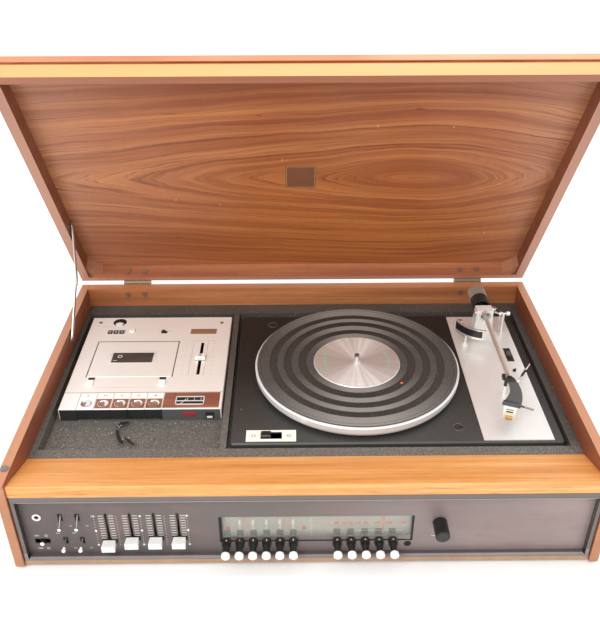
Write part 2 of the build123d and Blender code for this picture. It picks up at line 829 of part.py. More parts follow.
with BuildPart() as turntable_plate:
    block(deck_plate_x, deck_plate_depth, (skirt_bottom, deck_plate_top))
    fillet(turntable_plate.edges().filter_by(Axis.Z), 4.0)
    chamfer(turntable_plate.faces().sort_by(Axis.Z)[-1].edges(), 2.0)
    block(
        (deck_plate_x[0] + deck_plate_sheet, deck_plate_x[1] - deck_plate_sheet),
        (deck_plate_depth[0] + deck_plate_sheet, deck_plate_depth[1] - deck_plate_sheet),
        (skirt_bottom - 1, sheet_bottom),
        Mode.SUBTRACT,
    )
    block(drive_hole_x, drive_hole_depth, (sheet_bottom - 1, deck_plate_top + 1), Mode.SUBTRACT)
    # A bridge under the plate carries the idler's stud
    block(
        (idler_x - bridge_width / 2, idler_x + bridge_width / 2),
        (drive_hole_depth[0] + 25, drive_hole_depth[1] + 10),
        (sheet_bottom - 2, sheet_bottom),
    )
    upright(idler_x, idler_depth, 2.0, (sheet_bottom - 2, pulley_height + idler_thickness + 2))
    # Platter bearing, spindle and the four spring mounts
    upright(spindle_x, spindle_depth, platter_hub_radius - 3, (sheet_bottom - 20, platter_bottom - 2.5))
    upright(spindle_x, spindle_depth, spindle_radius, (sheet_bottom - 20, spindle_top))
    for x in (deck_plate_x[0] + mount_inset - 6, deck_plate_x[1] - mount_inset + 6):
        for depth in (deck_plate_depth[0] + mount_inset - 6, deck_plate_depth[1] - mount_inset + 6):
            upright(x, min(depth, deck_well_depth[1] - deck_ledge + 8), mount_radius,
                    (plinth_bottom, sheet_bottom))
    # Raised plate of the speed selector, with its slot
    block(selector_x, selector_depth, (deck_plate_top, deck_plate_top + selector_sheet))
    block(
        selector_slot_x,
        selector_slot_depth,
        (sheet_bottom - 1, deck_plate_top + selector_sheet + 1),
        Mode.SUBTRACT,
    )
    # Clearance for the arm's lift post and its spigot
    lift_turn = radians(lift_post_angle)
    lift_post_x = arm_x - lift_radius * sin(lift_turn)
    lift_post_depth = arm_depth - lift_radius * cos(lift_turn)
    upright(lift_post_x, lift_post_depth, lift_post_radius + 0.3, (sheet_bottom - 1, deck_plate_top + 1),
            Mode.SUBTRACT)
turntable_plate.part.label = "turntable_plate"
export_step(turntable_plate.part, "parts/turntable_plate.step")

with BuildPart() as platter:
    with BuildSketch(Plane.XZ):
        with BuildLine():
            Polyline(
                (spindle_radius + running_gap, foot_height + platter_bottom - 2),
                (platter_hub_radius, foot_height + platter_bottom - 2),
                (platter_hub_radius, foot_height + platter_top - platter_web),
                (platter_radius - platter_rim, foot_height + platter_top - platter_web),
                (platter_radius - platter_rim, foot_height + platter_bottom),
                (platter_radius - 2.5, foot_height + platter_bottom),
                (platter_radius - 0.4, foot_height + platter_bottom + 4),
                (platter_radius, foot_height + platter_top - 1.5),
                (platter_radius - 1.5, foot_height + platter_top),
                (label_radius, foot_height + platter_top),
                (label_radius, foot_height + label_top - 0.6),
                (label_radius - 0.6, foot_height + label_top),
                (spindle_radius + running_gap, foot_height + label_top),
                close=True,
            )
        make_face()
    revolve(axis=Axis.Z)
platter.part.position = (spindle_x, front_y + spindle_depth, 0)
platter.part.label = "platter"
export_step(platter.part, "parts/platter.step")

mat_outline = [(label_radius + 0.3, 0)]
for inner, outer in mat_bands:
    start = max(inner, label_radius + 0.3)
    if mat_outline[-1][0] < start:
        mat_outline += [(mat_outline[-1][0], mat_low), (start, mat_low)]
    mat_outline += [(start, mat_high), (outer, mat_high)]
mat_outline.append((mat_bands[-1][1], 0))
mat_points = []
for radius, height in mat_outline:
    point = (radius, foot_height + platter_top + 0.02 + height)
    if point not in mat_points:
        mat_points.append(point)
with BuildPart() as platter_mat:
    with BuildSketch(Plane.XZ):
        with BuildLine():
            Polyline(*mat_points, close=True)
        make_face()
    revolve(axis=Axis.Z)
platter_mat.part.position = (spindle_x, front_y + spindle_depth, 0)
platter_mat.part.label = "platter_mat"
export_step(platter_mat.part, "parts/platter_mat.step")

with BuildPart() as idler_wheel:
    upright(idler_x, idler_depth, idler_radius, (pulley_height, pulley_height + idler_thickness))
    chamfer(idler_wheel.edges(), 0.8)
    upright(idler_x, idler_depth, 5.0, (sheet_bottom + 1, pulley_height + idler_thickness + 1))
    upright(idler_x, idler_depth, 2.0 + running_gap, (sheet_bottom, pulley_height + 20), Mode.SUBTRACT)
idler_wheel.part.label = "idler_wheel"
export_step(idler_wheel.part, "parts/idler_wheel.step")

motor_top = sheet_bottom - 6.0
with BuildPart() as motor_pulley:
    upright(pulley_x, pulley_depth, pulley_large_radius, (motor_top + 1.5, pulley_height - 1.5))
    upright(pulley_x, pulley_depth, pulley_radius, (pulley_height - 1.5, pulley_height - 1.5 + pulley_small_length))
    upright(pulley_x, pulley_depth, 1.5 + running_gap, (motor_top, pulley_height + 3), Mode.SUBTRACT)
motor_pulley.part.label = "motor_pulley"
export_step(motor_pulley.part, "parts/motor_pulley.step")

motor_ear = (motor_top - motor_ear_drop - motor_ear_thickness, motor_top - motor_ear_drop)
with BuildPart() as turntable_motor:
    upright(pulley_x, pulley_depth, motor_radius, (motor_top - motor_height, motor_top - 6))
    fillet(turntable_motor.edges(), 3.0)
    upright(pulley_x, pulley_depth, motor_nose_radius, (motor_top - 7, motor_top))
    upright(pulley_x, pulley_depth, motor_spindle_radius, (motor_top - 7, pulley_height + 2))
    # Three rubber-bushed ears hang the motor under the plate
    for turn in (30.0, 150.0, 270.0):
        along_x, along_depth = cos(radians(turn)), sin(radians(turn))
        for distance in (motor_ear_step, motor_ear_distance):
            upright(pulley_x + distance * along_x, pulley_depth + distance * along_depth,
                    motor_ear_radius, motor_ear)
        upright(pulley_x + motor_ear_distance * along_x, pulley_depth + motor_ear_distance * along_depth,
                motor_bush_radius, (motor_ear[0], sheet_bottom))
turntable_motor.part.label = "turntable_motor"
export_step(turntable_motor.part, "parts/turntable_motor.step")

selector_knob_x = selector_slot_x[0] + selector_knob[0] / 2 + 0.8
selector_knob_depth = (selector_slot_depth[0] + selector_slot_depth[1]) / 2
with BuildPart() as speed_selector:
    block(
        (selector_knob_x - selector_knob[0] / 2, selector_knob_x + selector_knob[0] / 2),
        (selector_knob_depth - selector_knob[1] / 2, selector_knob_depth + selector_knob[1] / 2),
        (sheet_bottom - 3, deck_plate_top + selector_knob[2]),
    )
    chamfer(speed_selector.faces().sort_by(Axis.Z)[-1].edges(), 1.0)
speed_selector.part.label = "speed_selector"
export_step(speed_selector.part, "parts/speed_selector.step")

# Pick-up arm: plate, base, tower, arm, counterweight and lift

arm_plate_bottom = deck_plate_top + 0.02
arm_plate_top = arm_plate_bottom + arm_plate_sheet
base_top = arm_plate_top + arm_base_height
rest_depth = arm_depth - rest_forward
rest_top = arm_height - arm_tube_radius - 0.5
bias_x = arm_x + bias_offset
bias_depth = arm_depth - bias_forward

with BuildPart() as tonearm_plate:
    block(arm_plate_x, arm_plate_depth, (arm_plate_bottom, arm_plate_top))
    upright(arm_x, arm_depth, arm_base_radius, (arm_plate_top, base_top))
    upright(arm_x, arm_depth, spigot_radius + running_gap, (arm_plate_bottom - 1, base_top + 1), Mode.SUBTRACT)
    upright(lift_post_x, lift_post_depth, lift_post_radius + 2.0, (arm_plate_top, arm_plate_top + 4))
    upright(lift_post_x, lift_post_depth, lift_post_radius + running_gap,
            (arm_plate_bottom - 1, arm_plate_top + 5), Mode.SUBTRACT)
    # Arm rest, a post with a low cradle that the arm can swing out of
    upright(arm_x, rest_depth, 2.5, (arm_plate_top, rest_top - 5))
    block((arm_x - rest_half_width, arm_x + rest_half_width), (rest_depth - 4, rest_depth + 4),
          (rest_top - 6, rest_top))
    # Side-thrust compensator: a post, a cross rod and a small weight
    upright(bias_x, bias_depth, 2.0, (arm_plate_top, bias_top))
    crosswise((bias_x - 8, bias_x + 10), bias_depth, bias_top, 1.5)
    crosswise((bias_x + 4, bias_x + 9), bias_depth, bias_top, 3.5)
    # Start and stop control, a raised bar in a dark slot
    block(
        (arm_x + start_slot_offset[0], arm_x + start_slot_offset[1]),
        (arm_depth - start_slot_forward[0], arm_depth - start_slot_forward[1]),
        (arm_plate_top, arm_plate_top + 0.6),
    )
    block(
        (arm_x + start_bar_offset[0], arm_x + start_bar_offset[1]),
        (arm_depth - start_bar_forward[0], arm_depth - start_bar_forward[1]),
        (arm_plate_top, arm_plate_top + 5.0),
    )
    # A cheek with a pin that carries the lift lever
    block(
        (cue_lever_x - 5, cue_lever_x - 3.2),
        (cue_lever_depth - 4, cue_lever_depth + 4),
        (arm_plate_top, arm_plate_top + 7),
    )
    crosswise((cue_lever_x - 4, cue_lever_x + 3.4), cue_lever_depth, arm_plate_top + 4, 0.9)
tonearm_plate.part.label = "tonearm_plate"
export_step(tonearm_plate.part, "parts/tonearm_plate.step")

with BuildPart() as arm_tower:
    with BuildSketch(plan(base_top + 0.3)):
        with Locations((arm_x, arm_depth)):
            RectangleRounded(tower_width, tower_length, 3.0)
    extrude(amount=tower_top - base_top - 0.3, taper=tower_taper)
    upright(arm_x, arm_depth, spigot_radius, (deck_plate_top + 0.3, base_top + 1))
    level(arm_x, (arm_depth - tower_length, arm_depth + tower_length), arm_height, tower_hole_radius,
          Mode.SUBTRACT)
    crosswise((arm_x - tower_width, arm_x + tower_width), arm_depth, arm_height,
              gimbal_pin_radius + running_gap, Mode.SUBTRACT)
arm_tower.part.label = "arm_tower"
export_step(arm_tower.part, "parts/arm_tower.step")

tube_end = arm_depth - arm_tube_length
shell_top = arm_height + 1.5
shell_bottom = shell_top - shell_thickness


def from_tube_end(offset, ahead):
    """A place ahead of the arm tube's end, to the right of its line where the offset is positive."""
    return (arm_x + offset, tube_end - ahead)


with BuildPart() as tonearm:
    level(arm_x, (tube_end, arm_depth + counterweight_start + counterweight_ring), arm_height, arm_tube_radius)
    level(arm_x, (tube_end - 1, tube_end + 7), arm_height, arm_tube_radius + 1.2)
    level(arm_x, (arm_depth - 6, arm_depth + 6), arm_height, arm_tube_radius + 1.6)
    crosswise((arm_x - 11, arm_x + 11), arm_depth, arm_height, gimbal_pin_radius)
    # The head shell sweeps inwards from the end of the tube
    with BuildSketch(plan(shell_bottom)):
        with BuildLine():
            neck_left = from_tube_end(shell_neck[0], -1)
            neck_right = from_tube_end(shell_neck[1], -1)
            Line(neck_left, neck_right)
            ThreePointArc(neck_right, from_tube_end(*shell_outer_bend), from_tube_end(*shell_outer_end))
            Line(from_tube_end(*shell_outer_end), from_tube_end(*shell_inner_end))
            ThreePointArc(from_tube_end(*shell_inner_end), from_tube_end(*shell_inner_bend), neck_left)
        make_face()
    extrude(amount=shell_thickness)
    # Finger lift
    with Locations(Plane(origin=at(*from_tube_end(*finger_lift_root), shell_bottom + shell_thickness / 2),
                         x_dir=(1, -0.56, 0), z_dir=(0, 0, 1))):
        Box(*finger_lift, align=(Align.MIN, Align.CENTER, Align.CENTER))
    # Cartridge with its stylus
    with Locations(Plane(origin=at(*from_tube_end(*cartridge_place), shell_bottom), x_dir=(1, -0.38, 0),
                         z_dir=(0, 0, 1))):
        with Locations((0, cartridge_back - cartridge_length / 2, -cartridge_height / 2)):
            Box(cartridge_width, cartridge_length, cartridge_height)
        with Locations((0, cartridge_back + 4 - cartridge_length, -cartridge_height - stylus_length / 2 + 0.5)):
            Cone(1.4, 0.5, stylus_length, rotation=(180, 0, 0))
tonearm.part.label = "tonearm"
export_step(tonearm.part, "parts/tonearm.step")

ring_start = arm_depth + counterweight_start
with BuildPart() as counterweight:
    level(arm_x, (ring_start, ring_start + counterweight_ring), arm_height, counterweight_radius - 1.0)
    level(arm_x, (ring_start + counterweight_ring, ring_start + counterweight_ring + counterweight_length),
          arm_height, counterweight_radius)
    chamfer(counterweight.edges().group_by(Axis.Y)[-1], 1.0)
    # It is hollow round its sleeve and at its end, which leaves the arm a little heavier at the front
    level(arm_x, (ring_start - 1, ring_start + counterweight_ring - 3), arm_height,
          counterweight_sleeve[1], Mode.SUBTRACT)
    level(arm_x, (ring_start, ring_start + counterweight_ring), arm_height, counterweight_sleeve[0])
    level(arm_x, (ring_start - 1, ring_start + counterweight_ring + 2), arm_height,
          arm_tube_radius + running_gap, Mode.SUBTRACT)
    weight_end = ring_start + counterweight_ring + counterweight_length
    level(arm_x, (weight_end - counterweight_recess[1], weight_end + 1), arm_height,
          counterweight_recess[0], Mode.SUBTRACT)
counterweight.part.label = "counterweight"
export_step(counterweight.part, "parts/counterweight.step")

lift_top = arm_height - arm_tube_radius - lift_clearance
lift_mid = (lift_span[0] + lift_span[1]) / 2


def around_arm(radius, angle):
    """A place round the arm's pivot, by its angle from straight ahead towards the platter."""
    turn = radians(angle)
    return (arm_x - radius * sin(turn), arm_depth - radius * cos(turn))


with BuildPart() as cue_lift:
    with BuildSketch(plan(lift_top - lift_height)):
        with BuildLine():
            inner_radius = lift_radius - lift_band / 2
            outer_radius = lift_radius + lift_band / 2
            ThreePointArc(around_arm(inner_radius, lift_span[0]), around_arm(inner_radius, lift_mid),
                          around_arm(inner_radius, lift_span[1]))
            Line(around_arm(inner_radius, lift_span[1]), around_arm(outer_radius, lift_span[1]))
            ThreePointArc(around_arm(outer_radius, lift_span[1]), around_arm(outer_radius, lift_mid),
                          around_arm(outer_radius, lift_span[0]))
            Line(around_arm(outer_radius, lift_span[0]), around_arm(inner_radius, lift_span[0]))
        make_face()
    extrude(amount=lift_height)
    upright(lift_post_x, lift_post_depth, lift_post_radius, (sheet_bottom - 14, lift_top - lift_height + 1))
cue_lift.part.label = "cue_lift"
export_step(cue_lift.part, "parts/cue_lift.step")

cue_pivot_height = arm_plate_top + 4
with BuildPart() as cue_lever:
    crosswise((cue_lever_x - 2.8, cue_lever_x + 2.8), cue_lever_depth, cue_pivot_height, 2.2)
    lever_plane = Plane(origin=at(cue_lever_x, cue_lever_depth, cue_pivot_height), x_dir=(1, -0.9, 0),
                        z_dir=(0.62, 0.68, 0.39))
    with BuildSketch(lever_plane.offset(1.5)):
        Circle(cue_lever_radius)
    extrude(amount=cue_lever_length - 1.5)
    with BuildSketch(lever_plane.offset(cue_lever_length * 0.35)):
        Circle(cue_lever_radius + 0.7)
    extrude(amount=cue_lever_length * 0.4)
    crosswise((cue_lever_x - 4, cue_lever_x + 4), cue_lever_depth, cue_pivot_height, 0.9 + running_gap,
              Mode.SUBTRACT)
cue_lever.part.label = "cue_lever"
export_step(cue_lever.part, "parts/cue_lever.step")

# Cassette recorder

recorder_bottom = plinth_bottom + 0.02
door_pivot_depth = door_depth[0] - door_hinge_setback
lug_depth = (door_pivot_depth - lug_setback[0], door_pivot_depth - lug_setback[1])
key_row = (key_x - key_gap / 2, key_x + key_pitch * key_count + key_gap / 2)
bay_x = (door_x[0] - door_gap, door_x[1] + door_gap)
bay_depth = (door_depth[0] - door_gap, door_depth[1] + door_gap)
notch_back = bay_depth[0] + 1
notch_front = door_pivot_depth - door_barrel_radius - 0.4
door_pivot_height = recorder_top - door_barrel_radius - 0.3
hub_middle = (door_window_x[0] + door_window_x[1]) / 2
hub_depth = (door_window_depth[0] + door_window_depth[1]) / 2
level_stem = (3.0, 8.0)

with BuildPart() as cassette_recorder:
    block(recorder_x, recorder_depth, (recorder_bottom, recorder_top))
    chamfer(cassette_recorder.faces().sort_by(Axis.Z)[-1].edges(), chamfer_small)
    # The piano keys have the front edge to themselves, with one rod through all of them
    block(key_row, (recorder_depth[0] - 1, key_row_back), (recorder_bottom - 1, recorder_top + 1), Mode.SUBTRACT)
    crosswise(key_row, key_pivot_depth, key_pivot_height, key_rod_radius)
    # Cassette bay under the door, with its two hubs
    block(bay_x, bay_depth, (bay_floor, recorder_top + 1), Mode.SUBTRACT)
    for side in (-1, 1):
        upright(hub_middle + side * hub_spacing / 2, hub_depth, hub_radius, (bay_floor, bay_floor + 8))
    for x in door_ear_x:
        notch = (x - door_ear_width / 2 - 0.5, x + door_ear_width / 2 + 0.5)
        block(notch, (notch_front, notch_back), (recorder_top - 6, recorder_top + 1), Mode.SUBTRACT)
        crosswise(notch, door_pivot_depth, door_pivot_height, door_pin_radius)
        block(notch, lug_depth, (recorder_top, recorder_top + lug_height))
    block(
        (level_slot_x - level_slot_width / 2, level_slot_x + level_slot_width / 2),
        level_slot_depth,
        (recorder_top - 12, recorder_top + 1),
        Mode.SUBTRACT,
    )
    upright(reset_x, reset_depth, reset_radius + 0.3, (recorder_top - 8, recorder_top + 1), Mode.SUBTRACT)
    block(counter_x, counter_depth, (recorder_top - recess_depth, recorder_top + 1), Mode.SUBTRACT)
    upright(dial_recess_x, dial_recess_depth, dial_recess_radius, (recorder_top - recess_depth, recorder_top + 1),
            Mode.SUBTRACT)
    upright(dial_recess_x, dial_recess_depth, dial_recess_radius - 3, (recorder_top - recess_depth, recorder_top))
cassette_recorder.part.label = "cassette_recorder"
export_step(cassette_recorder.part, "parts/cassette_recorder.step")

for number in range(1, key_count + 1):
    left = key_x + key_pitch * (number - 1) + key_gap / 2
    right = left + key_pitch - key_gap
    middle = (left + right) / 2
    with BuildPart() as piano_key:
        block((left, right), (recorder_depth[0], key_row_back - key_gap), (recorder_top - key_sheet, recorder_top))
        block((left, right), (recorder_depth[0], recorder_depth[0] + key_sheet),
              (recorder_bottom + 4, recorder_top - key_sheet / 2))
        chamfer(piano_key.edges().filter_by(Axis.X).group_by(Axis.Y)[0].sort_by(Axis.Z)[-1], 1.0)
        block((middle - 5, middle + 5), (key_pivot_depth - 2.6, key_pivot_depth + 2.6),
              (key_pivot_height, recorder_top - key_sheet / 2))
        crosswise((middle - 5, middle + 5), key_pivot_depth, key_pivot_height, key_hub_radius)
        crosswise((middle - 6, middle + 6), key_pivot_depth, key_pivot_height, key_rod_radius + running_gap,
                  Mode.SUBTRACT)
        # A round dish for the finger
        dish_depth = recorder_depth[0] + 13.0
        upright(middle, dish_depth, key_dimple_radius, (recorder_top - 1.2, recorder_top + 1), Mode.SUBTRACT)
    key_name = f"piano_key_{number}"
    piano_key.part.label = key_name
    export_step(piano_key.part, f"parts/{key_name}.step")

door_top = recorder_top + 0.6
door_bottom = door_top - door_thickness
guide_x = (door_x[0] + 12.0, door_x[1] - 12.0)
with BuildPart() as cassette_door:
    block(door_x, door_depth, (door_bottom, door_top))
    chamfer(cassette_door.faces().sort_by(Axis.Z)[-1].edges(), chamfer_small)
    block(door_window_x, door_window_depth, (door_bottom - 1, door_top - 1.2), Mode.SUBTRACT)
    # Guides that hold a cassette under the door
    for x, inward in ((guide_x[0], 1), (guide_x[1], -1)):
        block((x - 0.8, x + 0.8), (door_depth[0] + 4, door_depth[1] - 24), (door_bottom - door_guide_drop, door_bottom))
    for x in door_ear_x:
        ear = (x - door_ear_width / 2, x + door_ear_width / 2)
        crosswise(ear, door_pivot_depth, door_pivot_height, door_barrel_radius)
        block(ear, (door_pivot_depth, door_depth[0] + 2), (door_pivot_height - 1.0, door_pivot_height + 1.6))
        crosswise((ear[0] - 1, ear[1] + 1), door_pivot_depth, door_pivot_height, door_pin_radius + running_gap,
                  Mode.SUBTRACT)
cassette_door.part.label = "cassette_door"
export_step(cassette_door.part, "parts/cassette_door.step")

with BuildPart() as level_slider:
    block(
        (level_slot_x - level_knob[0] / 2, level_slot_x + level_knob[0] / 2),
        (level_rest_depth - level_knob[1] / 2, level_rest_depth + level_knob[1] / 2),
        (recorder_top + 0.3, recorder_top + level_knob[2]),
    )
    chamfer(level_slider.faces().sort_by(Axis.Z)[-1].edges(), 1.2)
    block(
        (level_slot_x - level_stem[0] / 2, level_slot_x + level_stem[0] / 2),
        (level_rest_depth - level_stem[1] / 2, level_rest_depth + level_stem[1] / 2),
        (recorder_top - 10, recorder_top + 1),
    )
level_slider.part.label = "level_slider"
export_step(level_slider.part, "parts/level_slider.step")

with BuildPart() as counter_reset:
    upright(reset_x, reset_depth, reset_radius, (recorder_top - 5, recorder_top + 3))
    chamfer(counter_reset.edges().group_by(Axis.Z)[-1], 0.8)
counter_reset.part.label = "counter_reset"
export_step(counter_reset.part, "parts/counter_reset.step")

# Lid, built on a plane that lies in its closed position and is turned up about the hinge

lid_plane = Plane(
    origin=at(0, hinge_depth, hinge_z),
    x_dir=(1, 0, 0),
    z_dir=(0, sin(open_turn), cos(open_turn)),
)
lid_bottom = lid_seat_gap / 2
lid_top = lid_bottom + lid_thickness
lid_rim_top = lid_top - lid_board_thickness
lid_back = -hinge_setback
lid_front = -hinge_depth + lid_front_setback
lid_half = half_width


def lid_block(x, y, z, mode=Mode.ADD):
    """A board in the lid's own frame: y from the hinge towards the back, z out of its top."""
    with Locations(((x[0] + x[1]) / 2, (y[0] + y[1]) / 2, (z[0] + z[1]) / 2)):
        Box(x[1] - x[0], y[1] - y[0], z[1] - z[0], mode=mode)


def lid_bolt(x, y, z, radius, mode=Mode.ADD):
    """A round piece or hole through the lid's back rim."""
    with Locations((x, (y[0] + y[1]) / 2, z)):
        Cylinder(radius, y[1] - y[0], rotation=(90, 0, 0), mode=mode)


with BuildPart(lid_plane) as lid_board:
    lid_block((-lid_half, lid_half), (lid_front, lid_back), (lid_rim_top, lid_top))
    fillet(lid_board.edges().filter_by(Axis.X), edge_radius)
lid_board.part.label = "lid_board"
export_step(lid_board.part, "parts/lid_board.step")

rim_inner_x = lid_half - lid_side_rim
rim_inner_back = lid_back - lid_back_rim
rim_inner_front = lid_front + lid_front_rim
groove_bottom = lid_rim_top - lid_groove_height
lid_bolt_z = lid_bottom + hinge_bolt_drop
with BuildPart(lid_plane) as lid_frame:
    lid_block((-lid_half, lid_half), (lid_front, lid_back), (lid_bottom, lid_rim_top))
    lid_block((-rim_inner_x, rim_inner_x), (rim_inner_front, rim_inner_back), (lid_bottom - 1, lid_rim_top + 1),
              Mode.SUBTRACT)
    lid_block((-lid_half - 1, lid_half + 1), (lid_front - 1, lid_front + lid_groove_depth),
              (groove_bottom, lid_rim_top + 1), Mode.SUBTRACT)
    for x in hinge_bolt_x:
        lid_bolt(x, (rim_inner_back - 1, lid_back + 1), lid_bolt_z, bolt_radius + running_gap, Mode.SUBTRACT)
    # Glued blocks that stiffen the back corners
    for side in (-1, 1):
        with BuildSketch(lid_plane.offset(lid_bottom + 4)):
            with BuildLine():
                Polyline(
                    (side * rim_inner_x, rim_inner_back),
                    (side * (rim_inner_x - corner_block_leg), rim_inner_back),
                    (side * rim_inner_x, rim_inner_back - corner_block_leg),
                    close=True,
                )
            make_face()
        extrude(amount=lid_rim_top - lid_bottom - 4)
lid_frame.part.label = "lid_frame"
export_step(lid_frame.part, "parts/lid_frame.step")

# Stay geometry: both arms are as long, and the elbow lies behind the straight line


def lid_point(depth, height):
    """A place on the open lid, in the lid's own frame."""
    back = depth - hinge_depth
    up = height - hinge_z
    return (back * cos(open_turn) - up * sin(open_turn), back * sin(open_turn) + up * cos(open_turn))


stay_span = hypot(stay_lid_depth - stay_wall_depth, stay_lid_height - stay_wall_height)
stay_rise = atan2(stay_lid_height - stay_wall_height, stay_lid_depth - stay_wall_depth)
stay_arm_length = hypot(stay_span / 2, stay_elbow_sag)
stay_bend = atan2(stay_elbow_sag, stay_span / 2)
lower_turn = stay_rise - stay_bend
elbow_depth = stay_wall_depth + stay_arm_length * cos(lower_turn)
elbow_height = stay_wall_height + stay_arm_length * sin(lower_turn)
lower_x = (-inner_x + stay_plate_thickness + stay_layer_gap,
           -inner_x + stay_plate_thickness + stay_layer_gap + stay_arm_thickness)
upper_x = (lower_x[1] + stay_layer_gap, lower_x[1] + stay_layer_gap + stay_arm_thickness)
stay_lid_place = lid_point(stay_lid_depth, stay_lid_height)
lid_plate_inner = -rim_inner_x


def stay_arm(start, end, layer, clear_start, clear_end):
    """A flat strip with round ends, drawn on a plane across the cabinet."""
    with BuildPart() as strip:
        with BuildSketch(Plane.YZ.offset(layer[0])):
            middle = yz((start[0] + end[0]) / 2, (start[1] + end[1]) / 2)
            turn = degrees(atan2(end[1] - start[1], end[0] - start[0]))
            with Locations(Location((middle[0], middle[1], 0), turn)):
                SlotCenterToCenter(hypot(end[0] - start[0], end[1] - start[1]), stay_arm_width)
            for place, clear in ((start, clear_start), (end, clear_end)):
                if clear:
                    with Locations(yz(*place)):
                        Circle(stay_pin_radius + running_gap, mode=Mode.SUBTRACT)
        extrude(amount=layer[1] - layer[0])
    return strip


stay_lower_arm = stay_arm((stay_wall_depth, stay_wall_height), (elbow_depth, elbow_height), lower_x, True, False)
stay_lower_arm.part.label = "stay_lower_arm"
export_step(stay_lower_arm.part, "parts/stay_lower_arm.step")

stay_upper_arm = stay_arm((elbow_depth, elbow_height), (stay_lid_depth, stay_lid_height), upper_x, False, True)
stay_upper_arm.part.label = "stay_upper_arm"
export_step(stay_upper_arm.part, "parts/stay_upper_arm.step")

# Steel fittings on the cabinet: two hinge leaves with their pins and bolts, and the stay's wall plate

knuckle_third = hinge_width / 3
leaf_clear = knuckle_radius + knuckle_gap
with BuildPart() as cabinet_fittings:
    for side in (-1, 1):
        middle = side * hinge_offset
        span = (middle - hinge_width / 2, middle + hinge_width / 2)
        block(span, (cabinet_depth, cabinet_depth + hinge_leaf_thickness),
              (wall_height - hinge_leaf_height, hinge_z - leaf_clear))
        for end in (-1, 1):
            inner = middle + end * (knuckle_third / 2 + knuckle_gap)
            outer = middle + end * hinge_width / 2
            knuckle = (min(inner, outer), max(inner, outer))
            block(knuckle, (cabinet_depth, cabinet_depth + hinge_leaf_thickness),
                  (wall_height - hinge_leaf_height, hinge_z - 1))
            crosswise(knuckle, hinge_depth, hinge_z, knuckle_radius)
        crosswise(span, hinge_depth, hinge_z, hinge_pin_radius)
    for x in hinge_bolt_x:
        level(x, (cabinet_inside_depth - 3, cabinet_depth), cabinet_bolt_height, bolt_radius)
        level(x, (cabinet_depth, cabinet_depth + hinge_leaf_thickness + bolt_head_height),
              cabinet_bolt_height, bolt_head_radius)
        level(x, (cabinet_inside_depth - bolt_head_height, cabinet_inside_depth), cabinet_bolt_height,
              bolt_head_radius)
    block(
        (-inner_x, -inner_x + stay_plate_thickness),
        (stay_wall_depth - 8, stay_wall_depth + 8),
        (stay_wall_height - 6, stay_wall_height + 6),
    )
    crosswise((-inner_x, lower_x[1] + stay_layer_gap / 2), stay_wall_depth, stay_wall_height, stay_pin_radius)
    crosswise((lower_x[1] + 0.1, lower_x[1] + 0.9), stay_wall_depth, stay_wall_height, stay_pin_radius + 1.2)
cabinet_fittings.part.label = "cabinet_fittings"
export_step(cabinet_fittings.part, "parts/cabinet_fittings.step")

with BuildPart(lid_plane) as lid_fittings:
    for side in (-1, 1):
        middle = side * hinge_offset
        third = (middle - knuckle_third / 2, middle + knuckle_third / 2)
        lid_block((middle - hinge_width / 2, middle + hinge_width / 2), (lid_back, lid_back + hinge_leaf_thickness),
                  (leaf_clear, lid_bottom + hinge_leaf_height))
        lid_block(third, (lid_back, lid_back + hinge_leaf_thickness), (1, leaf_clear + 1))
        with Locations((middle, 0, 0)):
            Cylinder(knuckle_radius, knuckle_third, rotation=(0, 90, 0))
            Cylinder(hinge_pin_radius + running_gap, hinge_width, rotation=(0, 90, 0), mode=Mode.SUBTRACT)
    for x in hinge_bolt_x:
        lid_bolt(x, (rim_inner_back - 3, lid_back), lid_bolt_z, bolt_radius)
        lid_bolt(x, (lid_back, lid_back + hinge_leaf_thickness + bolt_head_height), lid_bolt_z, bolt_head_radius)
        lid_bolt(x, (rim_inner_back - bolt_head_height, rim_inner_back), lid_bolt_z, bolt_head_radius)
    lid_block(
        (lid_plate_inner, lid_plate_inner + 1.0),
        (stay_lid_place[0] - 8, stay_lid_place[0] + 8),
        (stay_lid_place[1] - 6, stay_lid_place[1] + 6),
    )
    with Locations(((lid_plate_inner + upper_x[1] + 0.8) / 2, stay_lid_place[0], stay_lid_place[1])):
        Cylinder(stay_pin_radius, upper_x[1] + 0.8 - lid_plate_inner, rotation=(0, 90, 0))
    with Locations((upper_x[1] + 0.6, stay_lid_place[0], stay_lid_place[1])):
        Cylinder(stay_pin_radius + 1.2, 1.0, rotation=(0, 90, 0))
lid_fittings.part.label = "lid_fittings"
export_step(lid_fittings.part, "parts/lid_fittings.step")
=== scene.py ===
import random
from functools import cached_property
from math import atan2, cos, pi, radians, sin, tau

import bmesh
import bpy
from mathutils import Matrix, Vector

